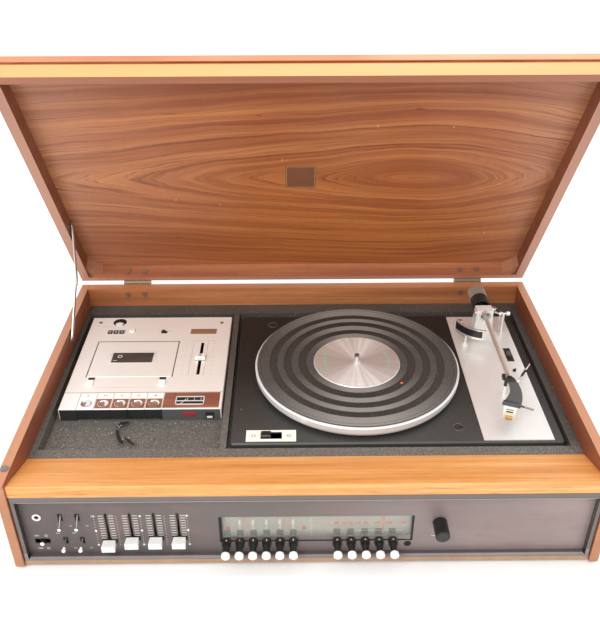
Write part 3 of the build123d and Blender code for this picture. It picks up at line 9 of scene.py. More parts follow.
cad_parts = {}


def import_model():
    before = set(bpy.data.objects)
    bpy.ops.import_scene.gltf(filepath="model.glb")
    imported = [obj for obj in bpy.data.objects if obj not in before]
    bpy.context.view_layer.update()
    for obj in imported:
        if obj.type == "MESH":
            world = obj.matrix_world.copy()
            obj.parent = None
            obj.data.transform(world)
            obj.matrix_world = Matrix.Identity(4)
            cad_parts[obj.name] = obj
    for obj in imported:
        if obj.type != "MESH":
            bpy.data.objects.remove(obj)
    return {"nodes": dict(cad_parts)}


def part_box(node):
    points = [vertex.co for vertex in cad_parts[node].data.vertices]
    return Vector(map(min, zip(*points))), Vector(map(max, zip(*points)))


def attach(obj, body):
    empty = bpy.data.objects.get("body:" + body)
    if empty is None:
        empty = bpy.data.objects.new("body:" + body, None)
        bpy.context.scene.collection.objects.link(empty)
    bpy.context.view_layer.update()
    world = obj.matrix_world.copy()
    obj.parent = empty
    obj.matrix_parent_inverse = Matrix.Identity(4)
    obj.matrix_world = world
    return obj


# A table-top radiogram with its lid open. The frame gives the solids; this script gives them their
# materials and adds what is too fine for them. Sizes are in millimetres until they reach a mesh:
# x along the front, depth from the front of the side panels, height from the cabinet's underside.

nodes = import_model()["nodes"]
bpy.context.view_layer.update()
side_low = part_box("side_panels")[0]
FRONT_Y = side_low.y * 1000
UNDERSIDE = side_low.z * 1000
FAR = 9999

FASCIA = 13
SCALE_CARD = 21
RECORDER_FRONT = 181
DECK_TOP = 112.5
CASE_TOP = 114.5
WELL_FLOOR = 100
BUTTONS = [-104.7 + 17.3 * i for i in range(6)] + [38.6 + 18.1 * i for i in range(5)]
BUTTON_HEIGHT = 30.2
FADERS = (-256, -225.7, -195.4, -165.1)
KNOB = (169.5, 62)
SPINDLE = (78.2, 264.8)
ARM = (289.5, 373)
LIFT = (249, 358)
CARTRIDGE = (279, 141)
SHELL_COS, SHELL_SIN = 0.9347, 0.3552
FIRST_KEY = -326.8
KEY_PITCH = 24.36


def at(x, depth, height):
    """A place in the cabinet, in metres."""
    return Vector((x, FRONT_Y + depth, UNDERSIDE + height)) / 1000


# Lid places, from its hinge's axis: u along the front, v towards the lid's front edge, w out of its top

OPEN_TURN = radians(60)
OPEN_COS, OPEN_SIN = cos(OPEN_TURN), sin(OPEN_TURN)
HINGE_DEPTH = 491
HINGE_HEIGHT = 144.25
LID_FACE = 25.75
LID_LENGTH = 478


def on_lid(u, v, w):
    return at(u, HINGE_DEPTH - v * OPEN_COS + w * OPEN_SIN, HINGE_HEIGHT + v * OPEN_SIN + w * OPEN_COS)


# Camera

FOCAL_PIXELS = 781.2
PICTURE_HEIGHT = 640
EYE = (-14.6, -688.6, 819)
PITCH, YAW, ROLL = (radians(a) for a in (32.604, 0.471, -0.148))
scene = bpy.context.scene
view = bpy.data.cameras.new("view")
view.sensor_width = 36
view.lens = FOCAL_PIXELS / PICTURE_HEIGHT * view.sensor_width
view.clip_start = 0.05
view.clip_end = 30
camera = bpy.data.objects.new("view", view)
scene.collection.objects.link(camera)
aimed = Matrix.Rotation(-YAW, 4, "Z") @ Matrix.Rotation(pi / 2 - PITCH, 4, "X")
camera.matrix_world = Matrix.Translation(at(*EYE)) @ aimed @ Matrix.Rotation(ROLL, 4, "Z")
scene.camera = camera

# Light: a white room, a broad soft light from above the front and a weaker one from overhead

scene.view_settings.view_transform = "Standard"
room = bpy.data.worlds.new("room")
scene.world = room
room.use_nodes = True
background = room.node_tree.nodes["Background"].inputs
background["Color"].default_value = (1, 1, 1, 1)
background["Strength"].default_value = 1.12


def soft_light(name, place, target, size, power):
    lamp = bpy.data.lights.new(name, "AREA")
    lamp.shape = "RECTANGLE"
    lamp.size, lamp.size_y = size
    lamp.energy = power
    holder = bpy.data.objects.new(name, lamp)
    scene.collection.objects.link(holder)
    holder.location = place
    holder.rotation_euler = (Vector(target) - Vector(place)).to_track_quat("-Z", "Y").to_euler()


soft_light("key_light", (-0.7, -1.5, 1.9), (0, 0, 0.2), (1.2, 1), 22)
soft_light("top_light", (0.5, 0.2, 2.4), (0.1, 0, 0.1), (1.2, 1.2), 12)

# Materials. Colours are given as six-digit screen codes

LOOKS = {}


def tone(code):
    """The linear colour that a screen code stands for."""
    parts = [int(code[i:i + 2], 16) / 255 for i in (0, 2, 4)]
    return tuple(p / 12.92 if p <= 0.04045 else ((p + 0.055) / 1.055) ** 2.4 for p in parts) + (1,)


class Signal:
    """A value inside a look. Plain arithmetic on it adds nodes."""

    def __init__(self, look, socket):
        self.look, self.socket = look, socket

    def __abs__(self):
        return self.look.math("ABSOLUTE", self)


ARITHMETIC = {"add": "ADD", "sub": "SUBTRACT", "mul": "MULTIPLY", "truediv": "DIVIDE", "pow": "POWER"}
for sign, operation in ARITHMETIC.items():
    setattr(Signal, f"__{sign}__", lambda a, b, name=operation: a.look.math(name, a, b))


class Look:
    """One procedural material, built node by node round a Principled shader."""

    def __init__(self, name, **sockets):
        LOOKS[name] = self
        self.material = bpy.data.materials.new(name)
        self.material.use_nodes = True
        self.tree = self.material.node_tree
        self.shader = self.tree.nodes["Principled BSDF"]
        self.set(**sockets)
        texture = self.node("TexCoord", output="Object")
        self.place = self.node("VectorMath", texture, 1000, into=("Vector", "Scale"), operation="SCALE")
        split = self.node("SeparateXYZ", self.place)
        self.x, self.y, self.z = (Signal(self, socket) for socket in split.socket.node.outputs)

    def set(self, **sockets):
        for key, value in sockets.items():
            self.feed(self.shader.inputs[key.replace("_", " ")], value)

    def feed(self, socket, value):
        if isinstance(value, Signal):
            self.tree.links.new(value.socket, socket)
        else:
            socket.default_value = tone(value) if isinstance(value, str) else value

    def node(self, kind, *values, into=None, output=0, **settings):
        """A new node with its values, fed into its first sockets or into the ones that are named."""
        made = self.tree.nodes.new("ShaderNode" + kind)
        for key, value in settings.items():
            setattr(made, key, value)
        for key, value in zip(into or range(len(values)), values):
            self.feed(made.inputs[key], value)
        return Signal(self, made.outputs[output])

    def math(self, operation, *values):
        return self.node("Math", *values, operation=operation)

    def vector(self, *parts):
        return self.node("CombineXYZ", *parts)

    def length(self, a, b):
        return self.math("SQRT", a * a + b * b)

    @cached_property
    def aside(self):
        """Distance from the cabinet's middle, to either side."""
        return abs(self.x)

    @cached_property
    def depth(self):
        return self.y - FRONT_Y

    @cached_property
    def height(self):
        return self.z - UNDERSIDE

    @cached_property
    def from_hinge(self):
        hinge = on_lid(0, 0, 0) * 1000
        return self.y - hinge.y, self.z - hinge.z

    @cached_property
    def v(self):
        """How far a point lies from the hinge along the open lid."""
        back, rise = self.from_hinge
        return rise * OPEN_SIN - back * OPEN_COS

    @cached_property
    def w(self):
        """How far a point lies from the hinge's axis, out through the open lid."""
        back, rise = self.from_hinge
        return back * OPEN_SIN + rise * OPEN_COS

    def noise(self, size, detail=3, rough=0.5, vector=None, shift=(0, 0, 0)):
        """Cloudy noise between 0 and 1, with blots of about size millimetres."""
        sizes = size if isinstance(size, tuple) else (size, size, size)
        moved = self.node("Mapping", vector or self.place, shift, (0, 0, 0), [1 / s for s in sizes])
        return self.node("TexNoise", moved, 0, 1, detail, rough)

    def ramp(self, value, *stops):
        """Colours or greys at the places of a value."""
        made = self.node("ValToRGB", value)
        points = made.socket.node.color_ramp.elements
        while len(points) < len(stops):
            points.new(0.5)
        for point, (position, colour) in zip(points, stops):
            point.position = position
            point.color = tone(colour) if isinstance(colour, str) else (colour, colour, colour, 1)
        return made

    def mix(self, share, a, b, blend="MIX"):
        return self.node("Mix", share, a, b, into=(0, 6, 7), output=2, data_type="RGBA", blend_type=blend,
                         clamp_factor=True)

    def over(self, colour, other, value, *stops):
        """Lays another colour over one, as much as the stops say at the places of a value."""
        return self.mix(self.ramp(value, *stops), colour, other)

    def spread(self, value, low, high, to_low=0, to_high=1):
        """Takes the range from low to high onto another, and holds at its ends."""
        return self.node("MapRange", value, low, high, to_low, to_high)

    def between(self, value, low, high, soft=0.05):
        """1 where value lies between low and high, with a short soft edge."""
        return self.spread(value, low - soft, low + soft) * self.spread(value, high - soft, high + soft, 1, 0)

    def inside(self, **limits):
        """1 inside a box of millimetres. An axis that isn't named is open."""
        share = None
        for axis, ends in limits.items():
            part = self.between(getattr(self, axis), *ends)
            share = part if share is None else share * part
        return share

    def bump(self, height, strength, distance=0.0002):
        sockets = ("Strength", "Distance", "Height")
        self.set(Normal=self.node("Bump", strength, distance, height, into=sockets))


def grain(look, along, tones, shift=0, width=1):
    """Straight-grained veneer, as a colour and a relief. along's first part follows the grain."""
    bands = look.noise((420 * width, 26 * width, 26 * width), 4, 0.55, along, (shift, shift, 0))
    lines = look.noise((300 * width, 3.4 * width, 6 * width), 3, 0.6, along, (0, shift, 0))
    pores = look.noise((26, 0.5, 1), 2, 0.5, along)
    colour = look.ramp(bands, (0.3, tones[0]), (0.5, tones[1]), (0.7, tones[2]))
    dark = look.over(colour, tones[0], lines, (0.4, 1), (0.62, 0))
    colour = look.mix(0.5, colour, dark)
    colour = look.over(colour, "5a3220", pores, (0.3, 0.4), (0.44, 0))
    return colour, pores + lines * 0.4


def wood(name, order, tones, shift=0, rough=0.42, width=1, other=None, edge=()):
    """Veneered board. order names the axes along, across and through the grain. other gives a mask, and the
    order and tones of the grain there; edge gives masks and tones for a lighter or darker lipping, or for
    painted light and shade on some faces."""
    look = Look(name, Coat_Weight=0.2, Coat_Roughness=0.35)
    colour, relief = grain(look, look.vector(*(getattr(look, c) for c in order)), tones, shift, width)
    if other:
        mask, other_order, other_tones = other
        along = look.vector(*(getattr(look, c) for c in other_order))
        second, other_relief = grain(look, along, other_tones, shift + 7, width)
        share = mask(look)
        colour = look.mix(share, colour, second)
        relief = look.spread(share, 0, 1, relief, other_relief)
    for mask, code in edge:
        colour = look.mix(mask(look), colour, look.mix(0.72, colour, code))
    look.set(Base_Color=colour, Roughness=look.spread(relief, 0.3, 0.9, rough + 0.12, rough))
    look.bump(relief, 0.1)


def lid_wood(name):
    """The inside of the lid: one flat-sawn leaf with nested points at the left and an eye at the right."""
    look = Look(name, Roughness=0.42, Coat_Weight=0.2, Coat_Roughness=0.35)
    x, v = look.x, look.v
    plane = look.vector(x, v, 0)
    wander = look.spread(look.noise((170, 80, 80), 2, 0.5, plane), 0, 1, -9, 9)
    waves = look.spread(look.noise((70, 12, 12), 2, 0.5, plane, (3, 1, 0)), 0, 1, -2.2, 2.2)
    across = v - 255 + wander
    # How far from the heart the saw passed, along the board
    passed = look.node("FloatCurve", 1, look.spread(x, -381, 381))
    mapping = passed.socket.node.mapping
    places = ((-381, 90), (381, 70), (-300, 82), (-248, 76), (-198, 68), (-120, 54), (-23, 39.8), (37, 31),
              (115, 11), (140, 4), (168, 0), (196, 4), (218, 11), (275, 33), (330, 52))
    for i, (place, distance) in enumerate(places):
        spot = ((place + 381) / 762, distance / 100)
        if i < 2:
            mapping.curves[0].points[i].location = spot
        else:
            mapping.curves[0].points.new(*spot)
    mapping.update()
    # A power below 2 draws the rings' ends out to points
    bend = 1.55
    away = abs(across) ** bend + look.math("MAXIMUM", passed * 100, 0) ** bend
    ring = away ** (1 / bend) + waves
    light, mid, deep, dark = "ba7544", "a35e35", "8e4b2a", "66321e"
    rings = ((0, mid), (7, light), (10, deep), (12, mid), (22, deep), (29, mid), (32, mid), (33, dark),
             (34.5, mid), (46, light), (56, mid), (64, light), (68, deep), (71, mid), (74, mid), (75, dark),
             (76.5, mid), (78, light), (86, light), (98, mid), (110, mid), (111.5, dark), (113, light),
             (128, mid), (139, deep), (143, mid), (158, light), (176, deep), (186, mid), (204, deep),
             (230, mid))
    widest = 240
    colour = look.ramp(ring / widest, *[(distance / widest, shade) for distance, shade in rings])
    soft = look.noise((620, 60, 60), 3, 0.5, plane, (2, 6, 0))
    colour = look.over(colour, "95522e", soft, (0.35, 0.45), (0.55, 0))
    # Painted shade: greyer towards the board's front edge, the top of the open lid. Paler at both ends.
    # Painted light: warmer and brighter low in the middle
    colour = look.mix(look.spread(v, 395, 455, 0, 0.6), colour, "874f37")
    left, right_end = look.spread(x, -150, -380, 0, 0.45), look.spread(x, 230, 380, 0, 0.5)
    colour = look.mix(look.math("MAXIMUM", left, right_end), colour, "c99474")
    low = look.spread(v, 330, 120, 0, 0.62) * look.between(x, -150, 270, 130)
    colour = look.mix(low, colour, "d07c38")
    # Fine lines and pores that follow the rings
    along = look.vector(x, ring, across * 0.04)
    lines = look.noise((300, 2, 2), 3, 0.65, along)
    colour = look.over(colour, dark, lines, (0.34, 0.62), (0.5, 0))
    strips = look.noise((520, 7, 7), 2, 0.5, along, (1, 4, 0))
    colour = look.over(colour, deep, strips, (0.36, 0.5), (0.5, 0))
    colour = look.over(colour, "d0905c", strips, (0.56, 0), (0.72, 0.35))
    pores = look.noise((14, 0.8, 0.8), 2, 0.6, plane)
    colour = look.over(colour, "5a3220", pores, (0.3, 0.4), (0.42, 0))
    knots = ((150.5, 398.5, 7, 3), (-176.7, 391.6, 11, 1.3), (-60, 388, 5, 1.5))
    for u, place, half_long, half_wide in knots:
        away = look.length((x - u) / half_long, (v - place) / half_wide)
        colour = look.mix(look.spread(away, 0.4, 1.3, 0.75, 0), colour, "6b3c28")
    # The board's front edge and its outer face are other veneers
    edge = look.ramp(look.noise((300, 4, 4), 3, 0.5, plane), (0.35, "bd7850"), (0.65, "dba078"))
    at_edge = look.spread(v, LID_LENGTH - 9, LID_LENGTH - 8.5) * look.spread(look.w, 25.8, 26.4)
    colour = look.mix(at_edge, colour, edge)
    outer = look.ramp(look.noise((420, 22, 22), 4, 0.55, plane, (9, 4, 0)), (0.3, "8a4f30"), (0.7, "c08050"))
    outer = look.over(outer, dark, lines, (0.36, 0.5), (0.56, 0))
    colour = look.mix(look.spread(look.w, 34.2, 34.8), colour, outer)
    look.set(Base_Color=colour)
    look.bump(pores + lines * 0.4, 0.1)


def coated(name, colour, rough=0.4, metallic=0, *zones, uneven=0.12, blots=18, scratches=0.6, relief=0.06,
           coat=0, dust=0):
    """Plastic, paint or metal with a little cloudiness and a fine grain. Each zone is a mask, a colour, a
    roughness and how metallic it is, laid over the one before."""
    look = Look(name, Coat_Weight=coat)
    shade, roughness, metalness = colour, rough, metallic
    for mask, other, other_rough, other_metallic in zones:
        share = mask(look)
        shade = look.mix(share, shade, other)
        roughness = look.spread(share, 0, 1, roughness, other_rough)
        if metalness != other_metallic:
            metalness = look.spread(share, 0, 1, metalness, other_metallic)
    cloud = look.noise(blots, 4, 0.6)
    worn = look.mix(1, shade, (0.5, 0.47, 0.44, 1), "MULTIPLY")
    shade = look.over(shade, worn, cloud, (0.35, uneven), (0.68, 0))
    if dust:
        specks = look.noise(1.3, 2, 0.7)
        shade = look.over(shade, "c2bcb2", specks, (0.6, 0), (0.72, dust))
    fine = look.noise(scratches, 2, 0.55)
    uneven_rough = look.spread(fine, 0.3, 0.7, -0.05, 0.1) + roughness
    look.set(Base_Color=shade, Metallic=metalness, Roughness=uneven_rough)
    look.bump(fine, relief)


def painted(name):
    """Grey-black paint with a speckled grain; darker towards the back and the right, a painted shade."""
    look = Look(name, Roughness=0.6)
    fine = look.noise(1.3, 3, 0.8)
    cloud = look.noise(60, 3, 0.5)
    shade = look.ramp(fine, (0.36, "46423e"), (0.52, "625d57"), (0.66, "9c948a"))
    # Painted shade: darker towards the back and on the ledge at the right.
    shade_at_right = look.spread(look.x, 330, 352) * look.spread(look.depth, 95, 115, 0, 0.6)
    back = look.math("MAXIMUM", look.spread(look.depth, 120, 330, 0, 0.55), shade_at_right)
    shade = look.mix(back, shade, "2f2c2a")
    shade = look.over(shade, "66615a", cloud, (0.4, 0), (0.7, 0.3))
    specks = look.noise(3, 1, 0.5, shift=(5, 2, 1))
    shade = look.over(shade, "d8d2c8", specks, (0.72, 0), (0.76, 0.6))
    look.set(Base_Color=shade)
    look.bump(fine, 0.35, 0.0004)


def anodised(name):
    """The brown-grey front panel, finely brushed along the front, with a painted sheen lighter towards the
    right and a pale ring round its socket.
    """
    look = Look(name, Metallic=0.3, Roughness=0.46)
    cloud = look.noise((160, 90, 90), 3, 0.5)
    scratches = look.noise((40, 0.5, 0.5), 3, 0.6)
    # Painted sheen: the panel lighter towards the right.
    shade = look.ramp(look.spread(look.x, -380, 380), (0, "5c5453"), (0.5, "7a716e"), (0.85, "a08f8d"))
    shade = look.over(shade, "6b5f5d", cloud, (0.35, 0.35), (0.62, 0))
    tints = look.noise((70, 40, 40), 3, 0.6, shift=(4, 1, 2))
    shade = look.over(shade, "8d6f6e", tints, (0.5, 0), (0.72, 0.45))
    shade = look.over(shade, "3a3534", scratches, (0.35, 0.12), (0.65, 0))
    shade = look.mix(look.inside(depth=(11, 12.8, 0.1), x=(-349.5, -336.5)), shade, "f2f0ec")
    look.set(Base_Color=shade, Roughness=look.spread(scratches, 0.3, 0.7, 0.38, 0.55))
    look.bump(scratches, 0.05, 0.0001)


def mat_rubber(name):
    """The platter mat: raised greyer bands, their grey partly a painted sheen, thin grooves near the rim, and
    dust.
    """
    look = Look(name, Roughness=0.66)
    reach = 160
    from_middle = look.x - SPINDLE[0]
    distance = look.length(from_middle, look.depth - SPINDLE[1])
    radius = distance / reach
    low, high = "24211f", "8a8682"
    stops = [(0, high)]
    for inner, outer in ((65, 76), (88, 98.5), (109, 119.5), (130.5, 149)):
        stops += [(inner / reach, high), ((outer - 0.6) / reach, high), (outer / reach, low)]
        if outer < 140:
            stops.append(((outer + 11) / reach, low))
    shade = look.ramp(radius, *stops)
    # Painted sheen: the raised bands bright at the front and back and darker at the sides, fixed to the mat,
    # so it turns with the platter
    shade = look.mix(look.spread(abs(from_middle / distance), 0.25, 0.95, 0, 0.85), shade, "332f2c")
    groove = look.math("PINGPONG", radius * (reach / 2.4), 1)
    rim = look.between(radius, 140.5 / reach, 146.5 / reach, 0.003)
    shade = look.mix(rim * look.ramp(groove, (0, 0.8), (0.3, 0)), shade, low)
    dust = look.noise(1.6, 3, 0.75)
    shade = look.over(shade, "9a938a", dust, (0.52, 0), (0.75, 0.5))
    look.set(Base_Color=shade)
    look.bump(dust, 0.2, 0.0003)


def spun_metal(name, colour, rough=0.34):
    """Aluminium turned on a lathe, for a piece whose own origin is on its upright axis."""
    look = Look(name, Metallic=0.4, Anisotropic=0.9, Anisotropic_Rotation=0.25)
    look.set(Tangent=look.node("Tangent", direction_type="RADIAL", axis="Z"))
    turn_by = look.math("ARCTAN2", look.y, look.x)
    cosine = look.math("COSINE", turn_by)
    spokes = look.noise(3.2, 2, 0.6, look.vector(look.math("SINE", turn_by) * 30, cosine * 30, 0))
    lathe = look.noise((0.5, 4, 4), 2, 0.5, look.vector(look.length(look.x, look.y), turn_by, 0))
    shade = look.over(colour, "a99f93", spokes, (0.35, 0.28), (0.65, 0))
    shade = look.over(shade, "9c9489", lathe, (0.35, 0.15), (0.65, 0))
    # Painted reflection: darker fans at the disc's left and right, fixed to it, so they turn with the
    # platter.
    shade = look.mix(look.spread(abs(cosine), 0.45, 0.95, 0, 0.5), shade, "9b8c80")
    look.set(Base_Color=shade, Roughness=look.spread(spokes, 0.3, 0.7, rough - 0.06, rough + 0.1))


def glass(name, light, dark, clear):
    look = Look(name, Roughness=0.06, Alpha=clear)
    look.set(Base_Color=look.ramp(look.noise((60, 30, 30), 3, 0.5), (0.3, dark), (0.7, light)))


def zone(**limits):
    """A mask for a box: each named axis has two ends and may have the softness of its edges."""
    return lambda k: k.inside(**limits)


def frame_sides(k):
    return k.spread(k.aside, 368, 368.4)


# Painted shade: the side rims darker towards the lid's front edge.
def lid_side_rims_shade(k):
    return frame_sides(k) * (k.spread(k.v, 220, 466, 0, 0.5) * k.between(k.v, -FAR, 466, 0.3))


# Painted light: 1 at the plate's front, fading out towards the back.
def painted_light_plate_front(k):
    return k.spread(k.depth, 270, 112)


def along_cartridge(low, high, half=99):
    """A mask for a stretch of the cartridge, counted forwards from its middle."""
    def mask(k):
        a, b = k.x - CARTRIDGE[0], k.depth - CARTRIDGE[1]
        ahead, aside = b * -SHELL_COS - a * SHELL_SIN, a * SHELL_COS - b * SHELL_SIN
        share = k.between(ahead, low, high, 0.1) * k.between(aside, -half, half, 0.1)
        return share * k.inside(height=(-FAR, 148.6))
    return mask


def area(colour, rough=0.4, metallic=0, **limits):
    """A zone with what covers it, for coated()."""
    return zone(**limits), colour, rough, metallic


BRUSHED = {"uneven": 0.05, "blots": 60, "scratches": (60, 0.9, 0.9)}
WHITE, BLACK, SILVER = "f4f2ec", "1d1b1a", "f6f0e8"
CAP_EDGE = FASCIA - 29 + 7
LIPPING = 143.35
RIM_FACE = 0.85
LID_ENDS_AT = 466
MIDDLE, BETWEEN_POSTS = (-360, 360), (-361.5, 361.5)
LIP_FRONT = (-FAR, 3.9)
SPINDLE_BOX = {"x": (74.5, 81.9), "depth": (261, 268.5)}

# Side panels: a lipping on top and along the front; the inner faces darker, a painted shade.
wood("side_panels", "yzx", ("8f4f33", "b56b46", "cf8f62"), 2, edge=(
    (zone(height=(LIPPING, FAR)), "c28a67"),
    (zone(aside=(300, 368.7), height=(-FAR, LIPPING)), "7e4129"),
    (zone(depth=(-FAR, 0.5)), "b07d58")))
wood("back_panel", "xzy", ("9a5a34", "bd7848", "d2925e"), 5, edge=((zone(height=(LIPPING, FAR)), "c98a5c"),))
wood("front_rail", "xyz", ("cf7f3e", "eca659", "f8bb78"), 9, rough=0.38, width=0.8)
wood("inlay", "xyz", ("7d4a36", "9a604a", "b07a60"), 21, width=0.4)
lid_wood("lid_board")
# Painted shade and reflection on the lid's frame: the side rims' inner faces darker, a painted shade; the
# mating faces along the sides paler, a painted reflection; the front rim's mating face darker, a painted
# shade.
wood("lid_frame", "xvw", ("8f5034", "ad6a45", "c08058"), 13,
     other=(frame_sides, "vxw", ("7c4632", "99604a", "b27a60")),
     edge=((zone(aside=(360, 367.3), w=(RIM_FACE, 25.7)), "6d3b2c"),
           (zone(w=(RIM_FACE, FAR), v=(477.6, FAR, 0.1)), "f2b672"),
           (zone(w=(-FAR, RIM_FACE), v=(-FAR, LID_ENDS_AT, 0.3)), "c3937c"),
           (zone(w=(-FAR, RIM_FACE), v=(LID_ENDS_AT, FAR, 0.3)), "96614a"),
           (lid_side_rims_shade, "7a4f3d"),
           (zone(aside=(344.8, 366.9), v=(16.1, 38.2), w=(4.6, 25.7)), "b07c5e")))
painted("deck_plinth")
anodised("fascia_panel")
mat_rubber("platter_mat")
spun_metal("spun", "f8f7f4")
glass("dial_glass", "c6c9c0", "b3b5aa", 0.2)
glass("smoke", "4e4845", "3d3836", 1)
coated("base_board", "7d6248", 0.8, 0,
    area("b18f73", 0.6, depth=(-FAR, 14.5)), uneven=0.3, scratches=1.2, relief=0.3)
# Painted highlights on the dark moulding: lighter greys on the ledges that face up and on the lip's front,
# and a near-white band along the bottom lip.
coated("fascia_surround", "2b2827", 0.26, 0,
    area("57514e", 0.3, x=MIDDLE, height=(60, FAR)),
    area("5a5254", 0.22, x=BETWEEN_POSTS, depth=(7.5, FAR), height=(-FAR, 14)),
    area("a79e9b", 0.22, x=BETWEEN_POSTS, depth=(-FAR, 7.5), height=(-FAR, 14)),
    area("665b56", 0.3, depth=LIP_FRONT, height=(20, FAR)),
    area("473f3d", 0.3, x=MIDDLE, depth=LIP_FRONT, height=(60, 113.2)),
    area("938985", 0.3, x=MIDDLE, depth=LIP_FRONT, height=(60, 112)),
    area("857c78", 0.3, depth=LIP_FRONT, height=(-FAR, 20)), coat=0.4, relief=0.05)
coated("rubber", "1f1e1d", 0.7, 0, area("77736e", 0.6, height=(120, FAR)), relief=0.2)
# Painted light on the black enamel: lighter towards the front, and a grey painted highlight along its front
# edge.
coated("turntable_plate", "1e1c1b", 0.55, 0,
    (painted_light_plate_front, "403f3d", 0.5, 0),
    area("4a4a47", 0.4, 0.1, depth=(-FAR, 109.3)),
    area("f6f3e6", x=(-81.8, -13.7), depth=(110.6, 134.4), height=(112.9, FAR)),
    area("e8e6e1", 0.2, 0.8, **SPINDLE_BOX, height=(113, FAR)),
    area("8c8480", 0.2, 0.8, **SPINDLE_BOX, height=(144.5, FAR)), dust=0.12, relief=0.08)
coated("black", "24211f", 0.34, coat=0.2)
coated("tuning_knob", "1a1817", 0.3, 0, area("1f1d1c", 0.4, 0.1, depth=(-FAR, -12.75)), coat=0.3)
coated("power_switch", "2b2826", 0.4, 0, area("faf9f5", 0.3, depth=(-FAR, 9.3)))
coated("white", WHITE, 0.32, uneven=0.04, coat=0.2)
coated("ivory", "efebe4", 0.5, uneven=0.04)
coated("grey_print", "9a938b", 0.5, uneven=0.1)
coated("red_print", "ea5a3c", 0.5, uneven=0.05)
coated("pale_red", "dd7f66", 0.5, uneven=0.05)
coated("green_print", "8cbfa4", 0.5, uneven=0.05)
coated("scale", "bcb8ad", 0.6, uneven=0.08, blots=60)
coated("stem_shade", "5f5b56", 0.6)
coated("dark_steel", "7d7974", 0.3, 0.6)
coated("steel", "dcd9d3", 0.26, 0.8)
coated("chrome", "e8e6e3", 0.12, 0.9, uneven=0.05)
coated("bronze", "93826e", 0.42, 0.6, uneven=0.4, blots=6)
coated("motor_pulley", "b59b7a", 0.45, 0.6, uneven=0.4, blots=9)
coated("amplifier_chassis", "b9b39a", 0.42, 0.9, uneven=0.3)
coated("cast", "f6f5f2", 0.34, 0.3, uneven=0.06, scratches=2)
coated("platter", "f2f1ef", 0.3, 0.25, uneven=0.05, blots=60, scratches=(60, 60, 0.6))
coated("tonearm_plate", "f3f2ee", 0.34, 0.4,
    area("2c2a29", x=(282, 297), depth=(204, 214), height=(130, FAR)),
    area("1b1a19", 0.5, x=(314.4, 325.1), depth=(290.9, 326.1), height=(113.85, 114.6)),
    area("77736f", 0.3, 0.6, x=(316.4, 323.1), depth=(301.9, 312.1), height=(114.6, FAR)),
    blots=60, scratches=(1.5, 60, 1.5), relief=0.015)
coated("turntable_motor", "8f8d88", 0.4, 0.8, uneven=0.3)
coated("tonearm", "cfc0b3", 0.28, 0.45,
    area("e2dfdb", 0.2, 0.8, depth=(195.8, 204.2)),
    area("55585a", 0.42, 0.2, depth=(-FAR, 197.8)),
    area("2e2c2b", 0.45, x=(284, 296.5), depth=(186, 197.8)),
    area("b0aeac", 0.3, 0.7, x=(294.5, FAR), depth=(120, 144)),
    *[(along_cartridge(*ends), code, 0.35, 0) for code, *ends in (
        ("fbfaf8", -9, 12.6), ("efe9dc", 12.6, 19), ("7d6a60", 9.4, 11.8, 5), ("2b2422", 14, 17.2, 4.6))],
    scratches=(1, 40, 1))
coated("counterweight", "b5b1ab", 0.36, 0.5, area("272423", 0.45, depth=(-FAR, 411)), scratches=(1, 8, 1))
coated("cue_lift", "2f2c2b", 0.26, 0.3,
    area("e6e4e0", 0.2, 0.7, height=(145.6, FAR)), area("e2e0dc", 0.22, 0.6, x=(279, FAR)),
    area("e6e4e0", 0.25, 0.6, height=(-FAR, 133.5)))
coated("cue_lever", "e6e4e0", 0.15, 0.85, area("242221", height=(122.4, 128.4)))
coated("cassette_recorder", SILVER, 0.42, 0.15,
    area("2e2f31", x=(-351.5, -120.5), depth=(-FAR, 423.5), height=(-FAR, 113.65)),
    area("57595b", x=(-204.6, -120.5), depth=(-FAR, 182.5), height=(-FAR, 113.3)),
    area(WHITE, x=(-351.6, -327.2), depth=(-FAR, 219), height=(114, FAR)),
    area("fbfaf8", 0.35, height=(115, FAR)),
    # Painted shade: a black strip on the case's top round the level slot, wider than the slot.
    area("1b1a19", 0.5, x=(-163.9, -159.1), depth=(262.2, 347)),
    area("d9bdae", 0.25, 0.6, x=(-FAR, -351.5)),
    area("d8d4cd", x=(-285, -245), depth=(295, 320), height=(102, FAR)), **BRUSHED)
coated("cassette_door", SILVER, 0.42, 0.15, area("2b2928", height=(-FAR, 114.25)), **BRUSHED)
coated("piano_key", "f6f4f0", 0.4, 0,
    area("26282a", depth=(-FAR, 184), height=(-FAR, 113.3)), uneven=0.04, scratches=BRUSHED["scratches"])
coated("push_button", BLACK, 0.32, 0, area("fbfaf6", 0.3, depth=(-FAR, CAP_EDGE)), coat=0.2)
coated("fader", "f3f2ee", 0.34, 0, area("232120", depth=(12.5, FAR)))
coated("lever_switch", "8a8682", 0.3, 0.6, area("fbfaf6", 0.3, depth=(-FAR, 1.6)))
coated("level_slider", "f2f1ee", 0.35, 0, area("2c2a29", height=(-FAR, 115.4)))
coated("pointer", "f0784a", 0.5, uneven=0.05)
coated("brown_label", "a9805f", 0.5, uneven=0.9, blots=1.1, dust=0.5)
coated("lamp", "a03438", 0.25, coat=0.4)
coated("gold", "c9a56a", 0.4, 0.4)
coated("transfer", "7a4c34", 0.5)
coated("shell_dark", "3b3c3d", 0.4, 0.2)
# A matte near-black for black parts and wear, also used for painted shadows and shade.
coated("worn", "171514", 0.7, relief=0.4)

# Each node of the frame takes the look that has its name, or one of these

SHARED = {
    "rubber_feet": "rubber", "idler_wheel": "rubber", "dial_pointer": "pointer", "counter_reset": "white",
    "speed_selector": "black", "arm_tower": "cast", "stay_lower_arm": "steel", "stay_upper_arm": "steel",
    "cabinet_fittings": "bronze", "lid_fittings": "bronze"}
for node_name, node in nodes.items():
    stem = node_name.rstrip("_0123456789")
    for slot in node.material_slots:
        slot.material = LOOKS[SHARED.get(stem, stem)].material

# Pieces: each is one mesh made of small shapes

PIECES = []


